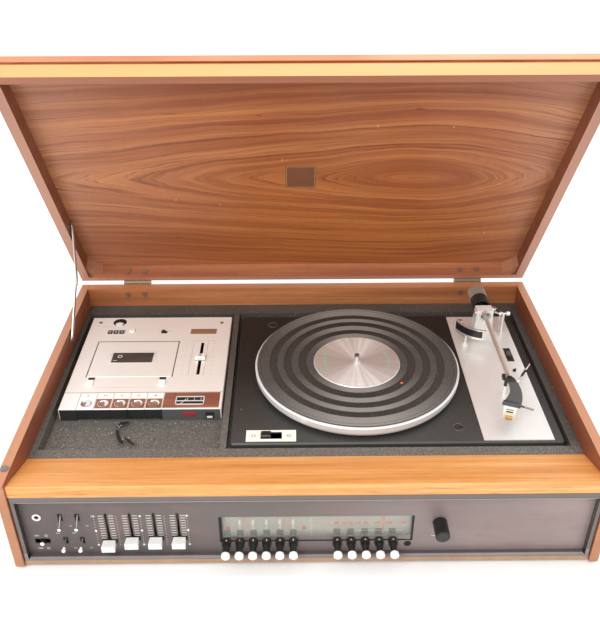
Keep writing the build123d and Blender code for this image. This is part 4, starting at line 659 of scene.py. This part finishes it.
def around(middle, half):
    return middle - half, middle + half


def polar(middle, angle, wide, tall=None):
    """A spot on a circle, or on an ellipse where tall is given."""
    return middle[0] + wide * cos(angle), middle[1] + (tall or wide) * sin(angle)


def circle(middle, side, other, radius, count):
    angles = [tau * i / count for i in range(count)]
    return [middle + (side * cos(angle) + other * sin(angle)) * radius for angle in angles]


def skin(rings, caps=True):
    """A shape with faces from ring to ring of places and over both ends. A ring may be a single place."""
    made = bmesh.new()
    rings = [[made.verts.new(spot) for spot in ring] for ring in rings]
    count = max(len(ring) for ring in rings)
    for low, high in zip(rings, rings[1:]):
        for i in range(count):
            j = (i + 1) % count
            corners = [low[i % len(low)], low[j % len(low)], high[j % len(high)], high[i % len(high)]]
            unique = list(dict.fromkeys(corners))
            if len(unique) > 2:
                made.faces.new(unique)
    for ring in (rings[0], rings[-1]):
        if caps and len(ring) > 2:
            made.faces.new(ring)
    return made


class Piece:
    """A mesh that is put together from shapes, given a look and hung on a body. place turns the shapes' three
    measures into a place in the scene."""

    smooth = 35

    def __init__(self, name, look, slot, place=at, body="cabinet"):
        self.name, self.look, self.slot, self.place, self.body = name, look, slot, place, body
        self.mesh = bmesh.new()
        PIECES.append(self)

    def slab(self, x, depth, height, bevel=0, turn=0):
        """A flat-sided block between two places in each direction, with its edges eased."""
        ends = (x, depth, height)
        middle = Vector([(low + high) / 2 for low, high in ends])
        spin = Matrix.Rotation(turn, 3, "Z")
        made = bmesh.new()
        bmesh.ops.create_cube(made, size=1)
        for vertex in made.verts:
            vertex.co = Vector([c * (high - low) for c, (low, high) in zip(vertex.co, ends)])
        if bevel:
            bmesh.ops.bevel(made, geom=made.edges[:], offset=bevel, segments=2, profile=0.5, affect="EDGES")
        for vertex in made.verts:
            vertex.co = self.place(*(spin @ vertex.co + middle))
        return self.take(made)

    def slabs(self, height, spots, bevel=0):
        """Several blocks of one height, each given by its ends along x and in depth."""
        for x, depth in spots:
            self.slab(x, depth, height, bevel)
        return self

    def turned(self, centre, profile, segments=32, axis="z", caps=True):
        """A round shape: profile has (distance along the axis, radius) pairs from centre. One that ends where
        it began is a ring."""
        along = Vector((0, 0, 1)) if axis == "z" else Vector((1, 0, 0))
        side = along.orthogonal().normalized()
        other = along.cross(side)
        rings = []
        for distance, radius in profile:
            count = segments if radius > 0 else 1
            spots = circle(Vector(centre) + along * distance, side, other, radius, count)
            rings.append([self.place(*spot) for spot in spots])
        return self.take(skin(rings, caps and profile[0] != profile[-1]))

    def dot(self, centre, radius, across, segments=16):
        """A flat round spot between two heights."""
        return self.turned(centre, [(height, radius) for height in across], segments)

    def ring(self, centre, inner, outer, across, segments=32):
        """A flat ring between two radii and two heights."""
        low, high = across
        profile = ((low, inner), (low, outer), (high, outer), (high, inner), (low, inner))
        return self.turned(centre, profile, segments)

    def holed(self, low, high, centre, radius, across):
        """A rectangular sheet with a round hole."""
        spots = [(x, y) for x in (low[0], high[0]) for y in (low[1], high[1])]
        angles = [atan2(y - centre[1], x - centre[0]) for x, y in spots] + [tau * i / 48 for i in range(48)]
        rings = []
        for angle in sorted({round(a % tau, 6) for a in angles}):
            ways = [(d, i) for i, d in enumerate((cos(angle), sin(angle))) if abs(d) > 1e-9]
            reach = min(((high[i] if d > 0 else low[i]) - centre[i]) / d for d, i in ways)
            rings.append([self.place(*polar(centre, angle, r), across[h])
                          for r, h in ((radius, 0), (reach, 0), (reach, 1), (radius, 1))])
        return self.take(skin(rings + rings[:1], False))

    def words(self, text, x, y, size, base=0, thick=0.05, bold=0):
        """Plain figures as thin raised shapes."""
        curve = bpy.data.curves.new("letters", "FONT")
        curve.body, curve.size, curve.offset = text, size, bold * size
        curve.align_x = curve.align_y = "CENTER"
        curve.extrude, curve.resolution_u = 0.01, 2
        holder = bpy.data.objects.new("letters", curve)
        data = bpy.data.meshes.new_from_object(holder)
        made = bmesh.new()
        made.from_mesh(data)
        for vertex in made.verts:
            vertex.co = self.place(x + vertex.co.x, y + vertex.co.y, base + (thick if vertex.co.z > 0 else 0))
        bpy.data.meshes.remove(data)
        bpy.data.objects.remove(holder)
        bpy.data.curves.remove(curve)
        return self.take(made)

    def rod(self, points, radius, sides=10):
        """A round bar or wire along a line of places."""
        spots = [self.place(*p) for p in points]
        rings = []
        for i, spot in enumerate(spots):
            along = (spots[min(i + 1, len(spots) - 1)] - spots[max(i - 1, 0)]).normalized()
            side = (side - along * side.dot(along) if i else along.orthogonal()).normalized()
            rings.append(circle(spot, side, along.cross(side), radius / 1000, sides))
        return self.take(skin(rings))

    def plate(self, outline, height, bevel=0):
        """A flat sheet with any outline, given as (x, depth) places, between two heights."""
        made = skin([[(x, y, z) for x, y in outline] for z in height])
        if bevel:
            made.faces.ensure_lookup_table()
            top = list(made.faces[-1].edges)
            bmesh.ops.bevel(made, geom=top, offset=bevel, segments=2, profile=0.5, affect="EDGES")
        for vertex in made.verts:
            vertex.co = self.place(*vertex.co)
        return self.take(made)

    def screw(self, x, depth, height, radius=2.6, rise=0.9, slot_turn=0.5):
        """A slotted screw with a domed head, its slot sunk between two halves of the dome."""
        half = radius * 0.14
        c, s = cos(slot_turn), sin(slot_turn)
        for side in (-1, 1):
            outline = []
            for i in range(13):
                angle = pi * i / 12
                a, b = radius * cos(angle), side * max(radius * sin(angle), half)
                outline.append((x + a * c - b * s, depth + a * s + b * c))
            if side < 0:
                outline.reverse()
            self.plate(outline, (height, height + rise), bevel=radius * 0.18)
        return self.dot((x, depth, height), radius * 0.98, (0, rise * 0.45), 20)

    def take(self, made):
        """Adds one finished shape to the piece."""
        bmesh.ops.remove_doubles(made, verts=made.verts, dist=1e-7)
        bmesh.ops.recalc_face_normals(made, faces=made.faces)
        temporary = bpy.data.meshes.new("shape")
        made.to_mesh(temporary)
        self.mesh.from_mesh(temporary)
        bpy.data.meshes.remove(temporary)
        made.free()
        return self

    def done(self):
        """Puts the piece in the scene, on its body, with its sharp edges kept."""
        limit = cos(radians(self.smooth))
        for face in self.mesh.faces:
            face.smooth = self.smooth > 0
        for edge in self.mesh.edges if self.smooth else ():
            faces = edge.link_faces
            edge.smooth = len(faces) == 2 and faces[0].normal.dot(faces[1].normal) > limit
        data = bpy.data.meshes.new(self.name)
        self.mesh.to_mesh(data)
        self.mesh.free()
        data.materials.append(LOOKS[self.look].material)
        made = bpy.data.objects.new(self.name, data)
        scene.collection.objects.link(made)
        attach(made, self.body)


class Flat(Piece):
    """Printed marks and thin sheets, shaded flat."""

    smooth = 0


# Floor

FLOOR_REACH = 6
corners = [(x * FLOOR_REACH, y * FLOOR_REACH, 0) for x, y in ((-1, -1), (1, -1), (1, 1), (-1, 1))]
floor_mesh = bpy.data.meshes.new("floor")
floor_mesh.from_pydata(corners, [], [(0, 1, 2, 3)])
floor = bpy.data.objects.new("floor", floor_mesh)
scene.collection.objects.link(floor)
floor_look = Look("pale_floor", Roughness=0.8)
floor_look.set(Base_Color=floor_look.ramp(floor_look.noise(300), (0.3, "f8f7f5"), (0.7, "fcfbfa")))
floor_mesh.materials.append(floor_look.material)


# Planes that the pieces are laid out on, with two measures along them and one out of them


def standing(depth):
    """An upright plane along the front, with a height and a way out towards the front."""
    return lambda x, across, out: at(x, depth - out, across)


def lying(height):
    """A level plane, with a way out upwards."""
    return lambda x, depth, out: at(x, depth, height + out)


facing, on_scale, on_front = standing(FASCIA), standing(SCALE_CARD), standing(RECORDER_FRONT)
on_deck, on_case, in_well = lying(DECK_TOP), lying(CASE_TOP), lying(WELL_FLOOR)


def on_bush(x, out, up):
    return at(x, FASCIA - 5 + out, 36.3 + up)


def on_cartridge(aside, ahead, height):
    return at(CARTRIDGE[0] + SHELL_COS * aside - SHELL_SIN * ahead,
              CARTRIDGE[1] - SHELL_SIN * aside - SHELL_COS * ahead, height)


def upright(x, height, depth):
    return at(x, depth, height)


def under_lid(u, v, out):
    return on_lid(u, v, LID_FACE - out)


def own(x, y, z):
    """Round a piece's own origin."""
    return Vector((x, y, z)) / 1000


# Front panel prints: scales beside the faders, marks beside the switches

PRINT = (0, 0.06)
marks = Flat("panel_marks", "ivory", "anodised_panel", facing)
for x in FADERS:
    for ends in ((x - 9.8, x - 3.4), (x + 3.4, x + 9.8)):
        marks.slabs(PRINT, [(ends, (37 + i * 4.48, 37.8 + i * 4.48)) for i in range(10)])
for x, dots in ((-271.5, 2), (-243, 0), (-212.5, 3), (-182, 0), (-153.2, 3)):
    for i in range(dots):
        marks.dot((x, 25 + i * 26, 0), 1.6, PRINT)
    for i in range(12):
        marks.dot((x, 25 + i * 4.7, 0), 0.5, PRINT, 8)
marks.ring((-343, 77, 1.5), 3.4, 5.4, (0, 0.08))
marks.ring((-336.8, 43, 0), 1.4, 1.9, PRINT, 16).ring((-337.6, 19.5, 0), 1.4, 1.9, PRINT, 16)
marks.words("10", -272.4, 77.2, 5.6).words("ON", -349, 43, 3.8).words("OFF", -347.5, 19.5, 3.8)
for x in (-302.5, -281.5):
    marks.slabs(PRINT, [(around(x, 1.8), across) for across in ((60.2, 60.8), (19.2, 19.8))])
for x in (-321, -300):
    marks.slab(around(x, 2.6), (47.2, 47.8), PRINT)
marks.slabs(PRINT, [((126, 135.4), (30.8, 31.4)), ((161, 178), (36.4, 37))])

sockets = Flat("socket_shades", "worn", "black_plastic", facing)
sockets.dot((130.7, 22.5, 0), 4.9, (-0.3, 0.05), 32)
sockets.slabs((0, 0.2), [((-113.4, -109.2), (28.8, 73.6)), ((133.8, 136.6), (28.8, 73.6)),
                         ((-113.4, 136.6), (28.8, 31.2))])
for x, top in ((-313.6, 80), (-292, 80), (-312.6, 38), (-291, 38)):
    tall = (top - 10.6, top + 1.6)
    sockets.slabs((0, 0.05), [((x - 3.1, x - 2.1), tall), ((x + 2.1, x + 3.1), tall),
                              (around(x, 3.1), (top + 1, top + 2))])

knob_dot = Flat("knob_dot", "worn", "black_plastic", facing, "tuner")
knob_dot.dot((170.8, 58.5, 26), 0.9, (-0.05, 0)).ring((*KNOB, 26), 7.4, 7.9, (-0.05, 0), 48)
flutes = Piece("knob_flutes", "black", "black_plastic", facing, "tuner")
for i in range(30):
    angle = tau * i / 30
    x, height = polar(KNOB, angle, 8.35)
    flutes.slab(around(x, 0.35), around(height, 0.35), (5, 25.6), 0.12, angle)
# Painted shadows: a dark sheet just behind each fader's cap, riding on the fader.
for i in range(1, 5):
    low, high = (c * 1000 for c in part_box(f"fader_{i}"))
    cap_shadow = Piece(f"fader_cap_shadow_{i}", "worn", "black_plastic", facing, f"fader_{i}_body")
    across = (low.z - UNDERSIDE + 3, high.z - UNDERSIDE + 1.2)
    cap_shadow.slab((low.x - 0.5, high.x + 1.4), across, (0.4, 1.6), 0.3)

# Fixed black bushes round the push buttons' stems, with plain numbers on the row of five

bushes = Piece("button_bushes", "black", "black_plastic", facing)
figures = Flat("button_figures", "white", "white_plastic", on_bush)
for i, x in enumerate(BUTTONS):
    bushes.turned((x, BUTTON_HEIGHT, 0),
                  ((0.02, 5.35), (0.02, 5.9), (7, 6.5), (8, 6.3), (8, 5.35), (0.02, 5.35)), 24)
    figures.words(str(i) if 0 < i < 6 else "o", x, 0, 4.4, thick=0.5)

# Dial scale behind the glass, cut round the button stems

SCALE_LEFT, SCALE_RIGHT, SCALE_LOW, SCALE_TOP = -109, 133.5, 31, 73.5
outline = [(SCALE_LEFT, SCALE_TOP), (SCALE_LEFT, SCALE_LOW)]
for x in BUTTONS:
    for i in range(9):
        spot, across = polar((x, BUTTON_HEIGHT), radians(188 - 24.5 * i), 5.6)
        if spot > SCALE_LEFT:
            outline.append((spot, max(across, SCALE_LOW)))
outline += [(SCALE_RIGHT, SCALE_LOW), (SCALE_RIGHT, SCALE_TOP)]
Flat("dial_scale", "scale", "plated_chassis", on_scale).plate(outline[::-1], (-0.6, 0))

INK = (0, 0.05)
shades = Flat("stem_shades", "stem_shade", "black_plastic", on_scale)
for i, x in enumerate(BUTTONS):
    shades.slab(around(max(x, -104), 4.4), (31.2, 41.5 if i < 6 else 42.5), INK)
reds = Flat("dial_figures", "red_print", "plated_chassis", on_scale)
for x, text in ((38, "88"), (47, "90"), (56, "92"), (65.5, "94"), (76, "96"), (91, "100"),
                (105.5, "104"), (122.5, "108")):
    reds.words(text, x, 53, 6.6, bold=0.045)
for x in (-102.5, -4.4):
    reds.dot((x, 44.4, 0), 3.2, INK, 20).plate(((x - 1.5, 47), (x + 1.5, 47), (x, 50.5)), INK)
rows = Flat("dial_rows", "pale_red", "plated_chassis", on_scale)
for base in (-80, -27):
    for i in range(8):
        across = (40 + i * 3.4, 41.3 + i * 3.4)
        rows.slabs(INK, [((base - 4.6, base - 0.6), across), ((base + 0.8, base + 4.8), across)])
for i in range(56):
    rows.slab((9 + i * 2.1, 9.4 + i * 2.1), (58, 58 + (1.3 if i % 5 else 2.6)), INK)
rows.slabs(INK, [((4, 30), (52.6, 53.6)), ((9, 124), (48.2, 48.7))])
whites = Flat("dial_numbers", "white", "plated_chassis", on_scale)
for i in range(5):
    x = -87.6 + 17.3 * i
    whites.slab(around(x, 1.5), (50.6, 60), INK).words(str(i + 1), x, 46, 7, bold=0.03)
whites.slab((62, 122), (38.4, 39.6), INK).slab((4.6, 5.2), (34, 70), (0, 0.04))

# Deck screws, selector plate, transit screws and the lift's post

screws = Piece("deck_screws", "dark_steel", "steel")
for i, (x, depth) in enumerate(((-360, 94), (-1.7, 93), (355, 94.6), (-360, 452), (355, 452))):
    screws.screw(x, depth, 110, slot_turn=i * 0.9)
digits = Flat("selector_figures", "grey_print", "silver_plate", on_deck)
digits.words("33", -72, 122.5, 7.4, 0.82, bold=0.01).words("45", -23.4, 122.5, 7.4, 0.82, bold=0.01)
digits.slab((-81.4, -13.9), (110.9, 111.3), (0.8, 0.84))
transit = Piece("transit_screws", "black", "black_enamel", on_deck)
rims = Piece("transit_screw_rims", "dark_steel", "steel", on_deck)
for x, depth in ((210.9, 138.1), (-50.9, 401)):
    transit.screw(x, depth, 0.1, 6.4, 1.1, 0.3)
    rims.turned((x, depth, 0), ((0, 6.9), (0, 7.9), (0.5, 7.8), (0.8, 7.4), (0.5, 6.9), (0, 6.9)), 40)
rims.turned((-91.4, 180.7, 0), ((0, 1.6), (0.5, 1.4), (0.8, 0)), 16)
Piece("lift_post", "black", "black_plastic", body="lift").turned(
    (*LIFT, 132), ((0, 4.8), (0.6, 5.4), (12.6, 5.4), (13, 5), (13, 0)))
Piece("lift_post_cap", "chrome", "chrome", body="lift").turned(
    (*LIFT, 145), ((0, 5), (0.4, 5.4), (1.4, 5.4), (2, 4.8), (2.3, 0)))

# Record deck: label disc, its printed arcs, and the mark on the mat

LABEL_BASE = 135
Piece("label_disc", "spun", "cast_alloy", own, "record_platter").turned(
    (0, 0, 0), ((0.02, 5.4), (0.02, 63.6), (0.3, 63.6), (0.35, 63.2), (0.35, 5.6), (0.02, 5.4)), 128)
arcs = Flat("label_arcs", "green_print", "cast_alloy", body="record_platter")
for side in (0, 180):
    for i in range(13):
        low, high = (radians(side - 34 + i * 5.2 + a) for a in (0, 3.4))
        corners = ((low, 47), (low, 49.6), (high, 49.6), (high, 47))
        arcs.plate([polar(SPINDLE, *corner) for corner in corners], (LABEL_BASE + 0.35, LABEL_BASE + 0.39))
Piece("mat_mark", "pointer", "mat_rubber", body="record_platter").turned(
    (139.6, 212.1, 133.6), ((0, 2.2), (0.35, 2), (0.5, 0)), 16)

# Pick-up arm: stylus guard, shell ribs, compensator wire, rest lock and the tower's rings

guard = Piece("stylus_guard", "gold", "arm_alloy", on_cartridge, "pickup_arm")
guard.slab(around(0, 4.6), (18.2, 22.8), (140, 144.6), 0.8)
guard.slab(around(0, 1.4), (22.6, 24.6), (140.6, 141.8), 0.4)
ribs = Piece("head_shell_ribs", "shell_dark", "arm_alloy", on_cartridge, "pickup_arm")
ribs.slabs((153.5, 153.9), [(around(aside, 0.7), (-4.5, -0.5)) for aside in (-5.5, 0, 5.5)], 0.2)
ribs.slab(around(0, 11.6), (-1.3, 0.2), (153.4, 154.1), 0.3)
wire = Piece("compensator_wire", "chrome", "chrome", body="tower")
wire.rod(((316, 371.2, 149), (316.2, 370.8, 135), (316.4, 370.4, 121), (316, 369.4, 118.2),
          (313.6, 366.6, 116.2), (311, 364, 115.6)), 0.9)
wire.turned((314.5, 372, 150), ((0, 3), (1, 3.6), (3.4, 3.6), (4.4, 3)), 24, "x")
wire.turned((306.6, 380.4, 146), ((0, 2.4), (6, 2.4), (6.4, 4.2), (9.4, 4.4), (10.2, 3.8), (10.4, 0)), 24)
wire.rod(((307, 380, 149), (311, 376, 149.6), (315, 372.6, 149.8)), 1.6)
lock = Piece("rest_lock", "worn", "black_plastic")
lock.turned((318.7, 266.4, 113.7), ((0, 2.6), (2.2, 2.4), (2.8, 1.8), (3, 0)), 20)
lock.rod(((319, 266.4, 115.4), (321.6, 270.6, 115)), 0.8)
bearing = Piece("tower_bearing", "chrome", "cast_alloy", upright, "tower")
bearing.ring((ARM[0], 152, 360.8), 7.5, 9, (0, 0.5), 40)
bearing.place = at
for side in (-1, 1):
    bearing.turned((ARM[0] + side * 12.2, ARM[1], 152),
                   ((0, 3.4), (2.4 * side, 3.4), (3 * side, 2.8), (3 * side, 0)), 24, "x")

# Cassette recorder: screws, openings, a painted shade in the recess, counter, printed lines, label and door
# window


def key_middle(number):
    return FIRST_KEY + KEY_PITCH * (number - 0.5)


case_screws = Piece("recorder_screws", "dark_steel", "steel", on_case)
case_screws.screw(-337.1, 408.4, 0, 2.7, slot_turn=0.2).screw(-135.6, 405.8, 0, 2.7)
blacks = Flat("recorder_gaps_and_shade", "worn", "black_plastic", on_case)
# Painted shade: a black crescent over the back of the round recess.
recess_shade_outline = []
for count, start, step, depth, wide, tall in (
        (25, -14, 8.66, 409, 10.8, 10.8), (13, 164, -12.3, 402.4, 7.6, 6.6)):
    recess_shade_outline += [polar((-305.2, depth), radians(start + i * step), wide, tall) for i in range(count)]
blacks.plate(recess_shade_outline, INK)
blacks.slabs((0, 0.04), [((-329.3, -199.2), (351.2, 352.6)), ((-329.5, -328.3), (256.4, 352.5)),
                         ((-200.1, -198.9), (256.4, 352.5)), ((-351.4, -120.6), (218.9, 219.6))])
blacks.slabs(INK, [((-232.6, -226.2), (375.4, 386)), ((-226.4, -222.6), (375.4, 382))])
blacks.dot((-218.9, 381, 0), 0.8, INK, 12)
blacks.slabs((-0.5, -0.2), [(around(key_middle(i + 0.5), 0.45), (181.6, 218.9)) for i in range(5)])
Piece("mode_lever", "black", "black_plastic", on_case).slab((-231.4, -227.6), (377, 381), (0, 2.6), 0.5)

drums = Piece("counter_wheels", "black", "black_plastic", on_case)
figures = Flat("counter_figures", "white", "white_plastic", on_case)
for i in range(3):
    x = -316.2 + i * 9.4
    drums.slab(around(x, 3.3), (375.4, 385.6), (-2.6, -0.3), 0.9)
    figures.words("0", x, 380.5, 7, -0.26).slab((x + 3.9, x + 5), (375.6, 385.4), (-2.6, -0.4))
recess = Piece("recess_lining", "white", "silver_plate", on_case)
recess.turned((-305.2, 402.6, 0), ((0, 5.6), (0.5, 5.6), (0.8, 5.2), (0.8, 0)), 36)

LINE = (0, 0.03)
engraved = Flat("recorder_lines", "grey_print", "recorder_case", on_case)
engraved.slabs(LINE, [(around(x, 0.2), (259, 350)) for x in (-176, -153)])
for x in (-186, -142):
    for i in range(8):
        engraved.dot((x, 263 + i * 11.6, 0), 0.6, LINE, 10)
engraved.slabs(LINE, [((-181, -138), (352.6, 352.9)), ((-343, -300), (396.3, 396.6)),
                      ((-313, -222), (231.2, 231.5))])
label = Piece("recorder_label", "brown_label", "recorder_case", on_case)
label.slab((-184.4, -142.2), (372.7, 387.3), (0, 0.25), 0.1)

window = Piece("door_window", "cast", "silver_plate", on_case, "door")
window.slabs((0.6, 0.95), [((-302.2, -231.2), (290.6, 293.4)), ((-302.2, -231.2), (319.6, 322.6)),
                           ((-302.2, -298.6), (293.4, 319.6)), ((-235.2, -231.2), (293.4, 319.6))], 0.12)
Flat("door_pane", "smoke", "dial_glass", on_case, "door").slab((-298.6, -235.2), (293.4, 319.6), (0.6, 0.72))
hub = Flat("tape_hub", "white", "white_plastic", on_case, "door")
hub.ring((-287, 309.8, 0.72), 2.6, 3.7, INK, 24)
hub.rod(((-296, 298, 0.8), (-292.5, 299.2, 0.8), (-289.5, 298.2, 0.8)), 0.3, 8)

# Keys: a brown inlay but on the first, a bright dish, and a sign

PLAY = (0, ((-1.6, -1.6), (-1.6, 1.6), (1.4, 0)))
REWIND = ((-1.6, 0), (1.2, 1.6), (1.2, -1.6))
for number in range(1, 6):
    x = key_middle(number)
    body = f"piano_key_{number}_body"
    if number > 1:
        inlay = Flat(f"key_inlay_{number}", "inlay", "recorder_case", on_case, body)
        inlay.holed((x - 11.2, 183), (x + 11.2, 204.4), (x, 194), 7.7, (0, 0.12))
    dish = Piece(f"key_dish_{number}", "chrome", "silver_plate", on_case, body)
    dish.turned((x, 194, 0), ((-1.15, 0), (-1.1, 5), (-0.5, 6.8), (0.16, 7.3), (0.3, 7.7), (0.16, 8.2),
                              (0, 8.2)), 40, caps=False)
    print_look = "red_print" if number == 4 else "grey_print"
    sign = Flat(f"key_sign_{number}", print_look, "recorder_case", on_case, body)
    if number == 5:
        sign.slab(around(x, 1.5), (210.5, 213.5), (0, 0.04))
        continue
    for along, shape in ((-1.6, REWIND), (1.8, REWIND)) if number == 2 else (PLAY,):
        sign.plate([(x + along + a, 212 + b) for a, b in shape], (0, 0.04))

# Recorder front: inlay, meter, trim, lamp and rocker

inlay = Piece("recorder_inlay", "inlay", "recorder_case", on_case)
inlay.slab((-204.4, -123.6), (183.2, 218.2), (-0.2, 0.12), 0.06)
meter = Piece("meter_frame", "cast", "silver_plate", on_case)
meter.slabs((0.1, 1.5), [((-187, -145.4), (189.2, 190.8)), ((-187, -145.4), (206.6, 208.2)),
                         ((-187, -185.4), (189.2, 208.2)), ((-147, -145.4), (189.2, 208.2))], 0.2)
meter.slab((-185.4, -147), (197.4, 199.6), (0.1, 0.6), 0.2)
Flat("meter_face", "worn", "black_plastic", on_case).slab((-185.4, -147), (190.8, 206.6), (0.1, 0.35))
needle = Flat("meter_needle", "ivory", "white_plastic", on_case)
needle.plate(((-179.4, 191.6), (-178.4, 191.4), (-171.6, 201.6), (-172.4, 202)), (0.7, 0.9))
needle.slabs((0.35, 0.42), [(around(x, 0.4), (201, 204.6)) for x in (-170, -160, -150.5)])
trim = Piece("recorder_trim", "white", "silver_plate", on_front)
trim.slabs((-0.6, 0.15), [((-204.6, -120.7), (113, 114.2)), ((-351.9, -327.2), (113, 114.2))], 0.1)
trim.slabs((-0.3, 0.12), [((x, x + 0.9), (97, 113.6)) for x in (-351.9, -121.5)], 0.05)
for name, look, slot, *block in (
    ("recorder_lamp", "lamp", "black_plastic", (-175.2, -156), (101, 108.6), (0, 0.9), 0.4),
    ("recorder_rocker", "black", "black_plastic", (-142.8, -130.8), (97.2, 108.4), (0, 1.6), 0.6),
    ("recorder_rocker_mark", "white", "white_plastic", (-140.8, -132.8), (98.4, 102.2), (1.6, 2.1), 0.25),
):
    Piece(name, look, slot, on_front).slab(*block)
Piece("level_mark", "steel", "white_plastic", on_case, "level").turned(
    (-161.5, 303, 7), ((0, 2.6), (0.25, 2.4), (0.1, 1.4), (0.1, 0)), 20)

# A torn patch in the well's paint, and dust

patch = Flat("worn_patch", "worn", "painted_board", in_well)
for points in (
    ((-262.2, 170.4), (-249.4, 171.6), (-251.1, 166.6), (-258.8, 163.7), (-264.2, 157.8), (-267.5, 160.5)),
    ((-266.4, 154.5), (-261.3, 151.2), (-258.3, 139.9), (-250.2, 125.6), (-252.4, 122.5), (-259.7, 131.3),
     (-264.2, 143.2)),
    ((-251.3, 139.8), (-247, 134), (-242.6, 132.4), (-240, 127), (-233.8, 123.8), (-236.8, 120.4),
     (-245, 128), (-251.1, 135)),
):
    patch.plate(points, (0, 0.08))
bits = Flat("worn_bits", "ivory", "painted_board", in_well)
random.seed(4)
for x, depth in ((-264.9, 161.8), (-262.5, 159), (-260.8, 162.6), (-253.3, 133.5), (-245.4, 136.5),
                 (-270.6, 146.5)):
    turn_by = random.uniform(0, 3)
    bits.slab(around(x, 0.9), around(depth, 0.5), (0.05, 0.2), 0.05, turn_by)
for i in range(26):
    x, depth = random.uniform(-345, -125), random.uniform(106, 176)
    size = random.uniform(0.25, 0.55)
    bits.slab(around(x, size), around(depth, size), (0, 0.15), 0, random.uniform(0, 3))

# Lid: a plain transfer in the middle of the leaf, and a few specks of lost finish

Flat("lid_transfer", "transfer", "veneer", under_lid, "lid").slab((-26.5, 18), (232.5, 282.5), (0, 0.06))
border = Flat("lid_transfer_border", "gold", "veneer", under_lid, "lid")
border.slabs((0.06, 0.09), [((-25.5, 17), (233.4, 234.3)), ((-25.5, 17), (280.7, 281.6)),
                            ((-25.5, -24.6), (233.4, 281.6)), ((16.1, 17), (233.4, 281.6))])
specks = Flat("lid_specks", "ivory", "veneer", under_lid, "lid")
for u, v in ((-30.8, 296.7), (-193.5, 203.5), (-127.9, 189.9), (98.7, 366.4), (201, 363.7), (295.5, 108.3)):
    specks.plate([polar((u, v), angle, 1, 0.8) for angle in (0, 1.1, 2.3, 3.5, 4.9)], INK)

for piece in PIECES:
    piece.done()
bpy.data.objects["label_disc"].location = at(*SPINDLE, LABEL_BASE)

scene.view_layers[0].update()
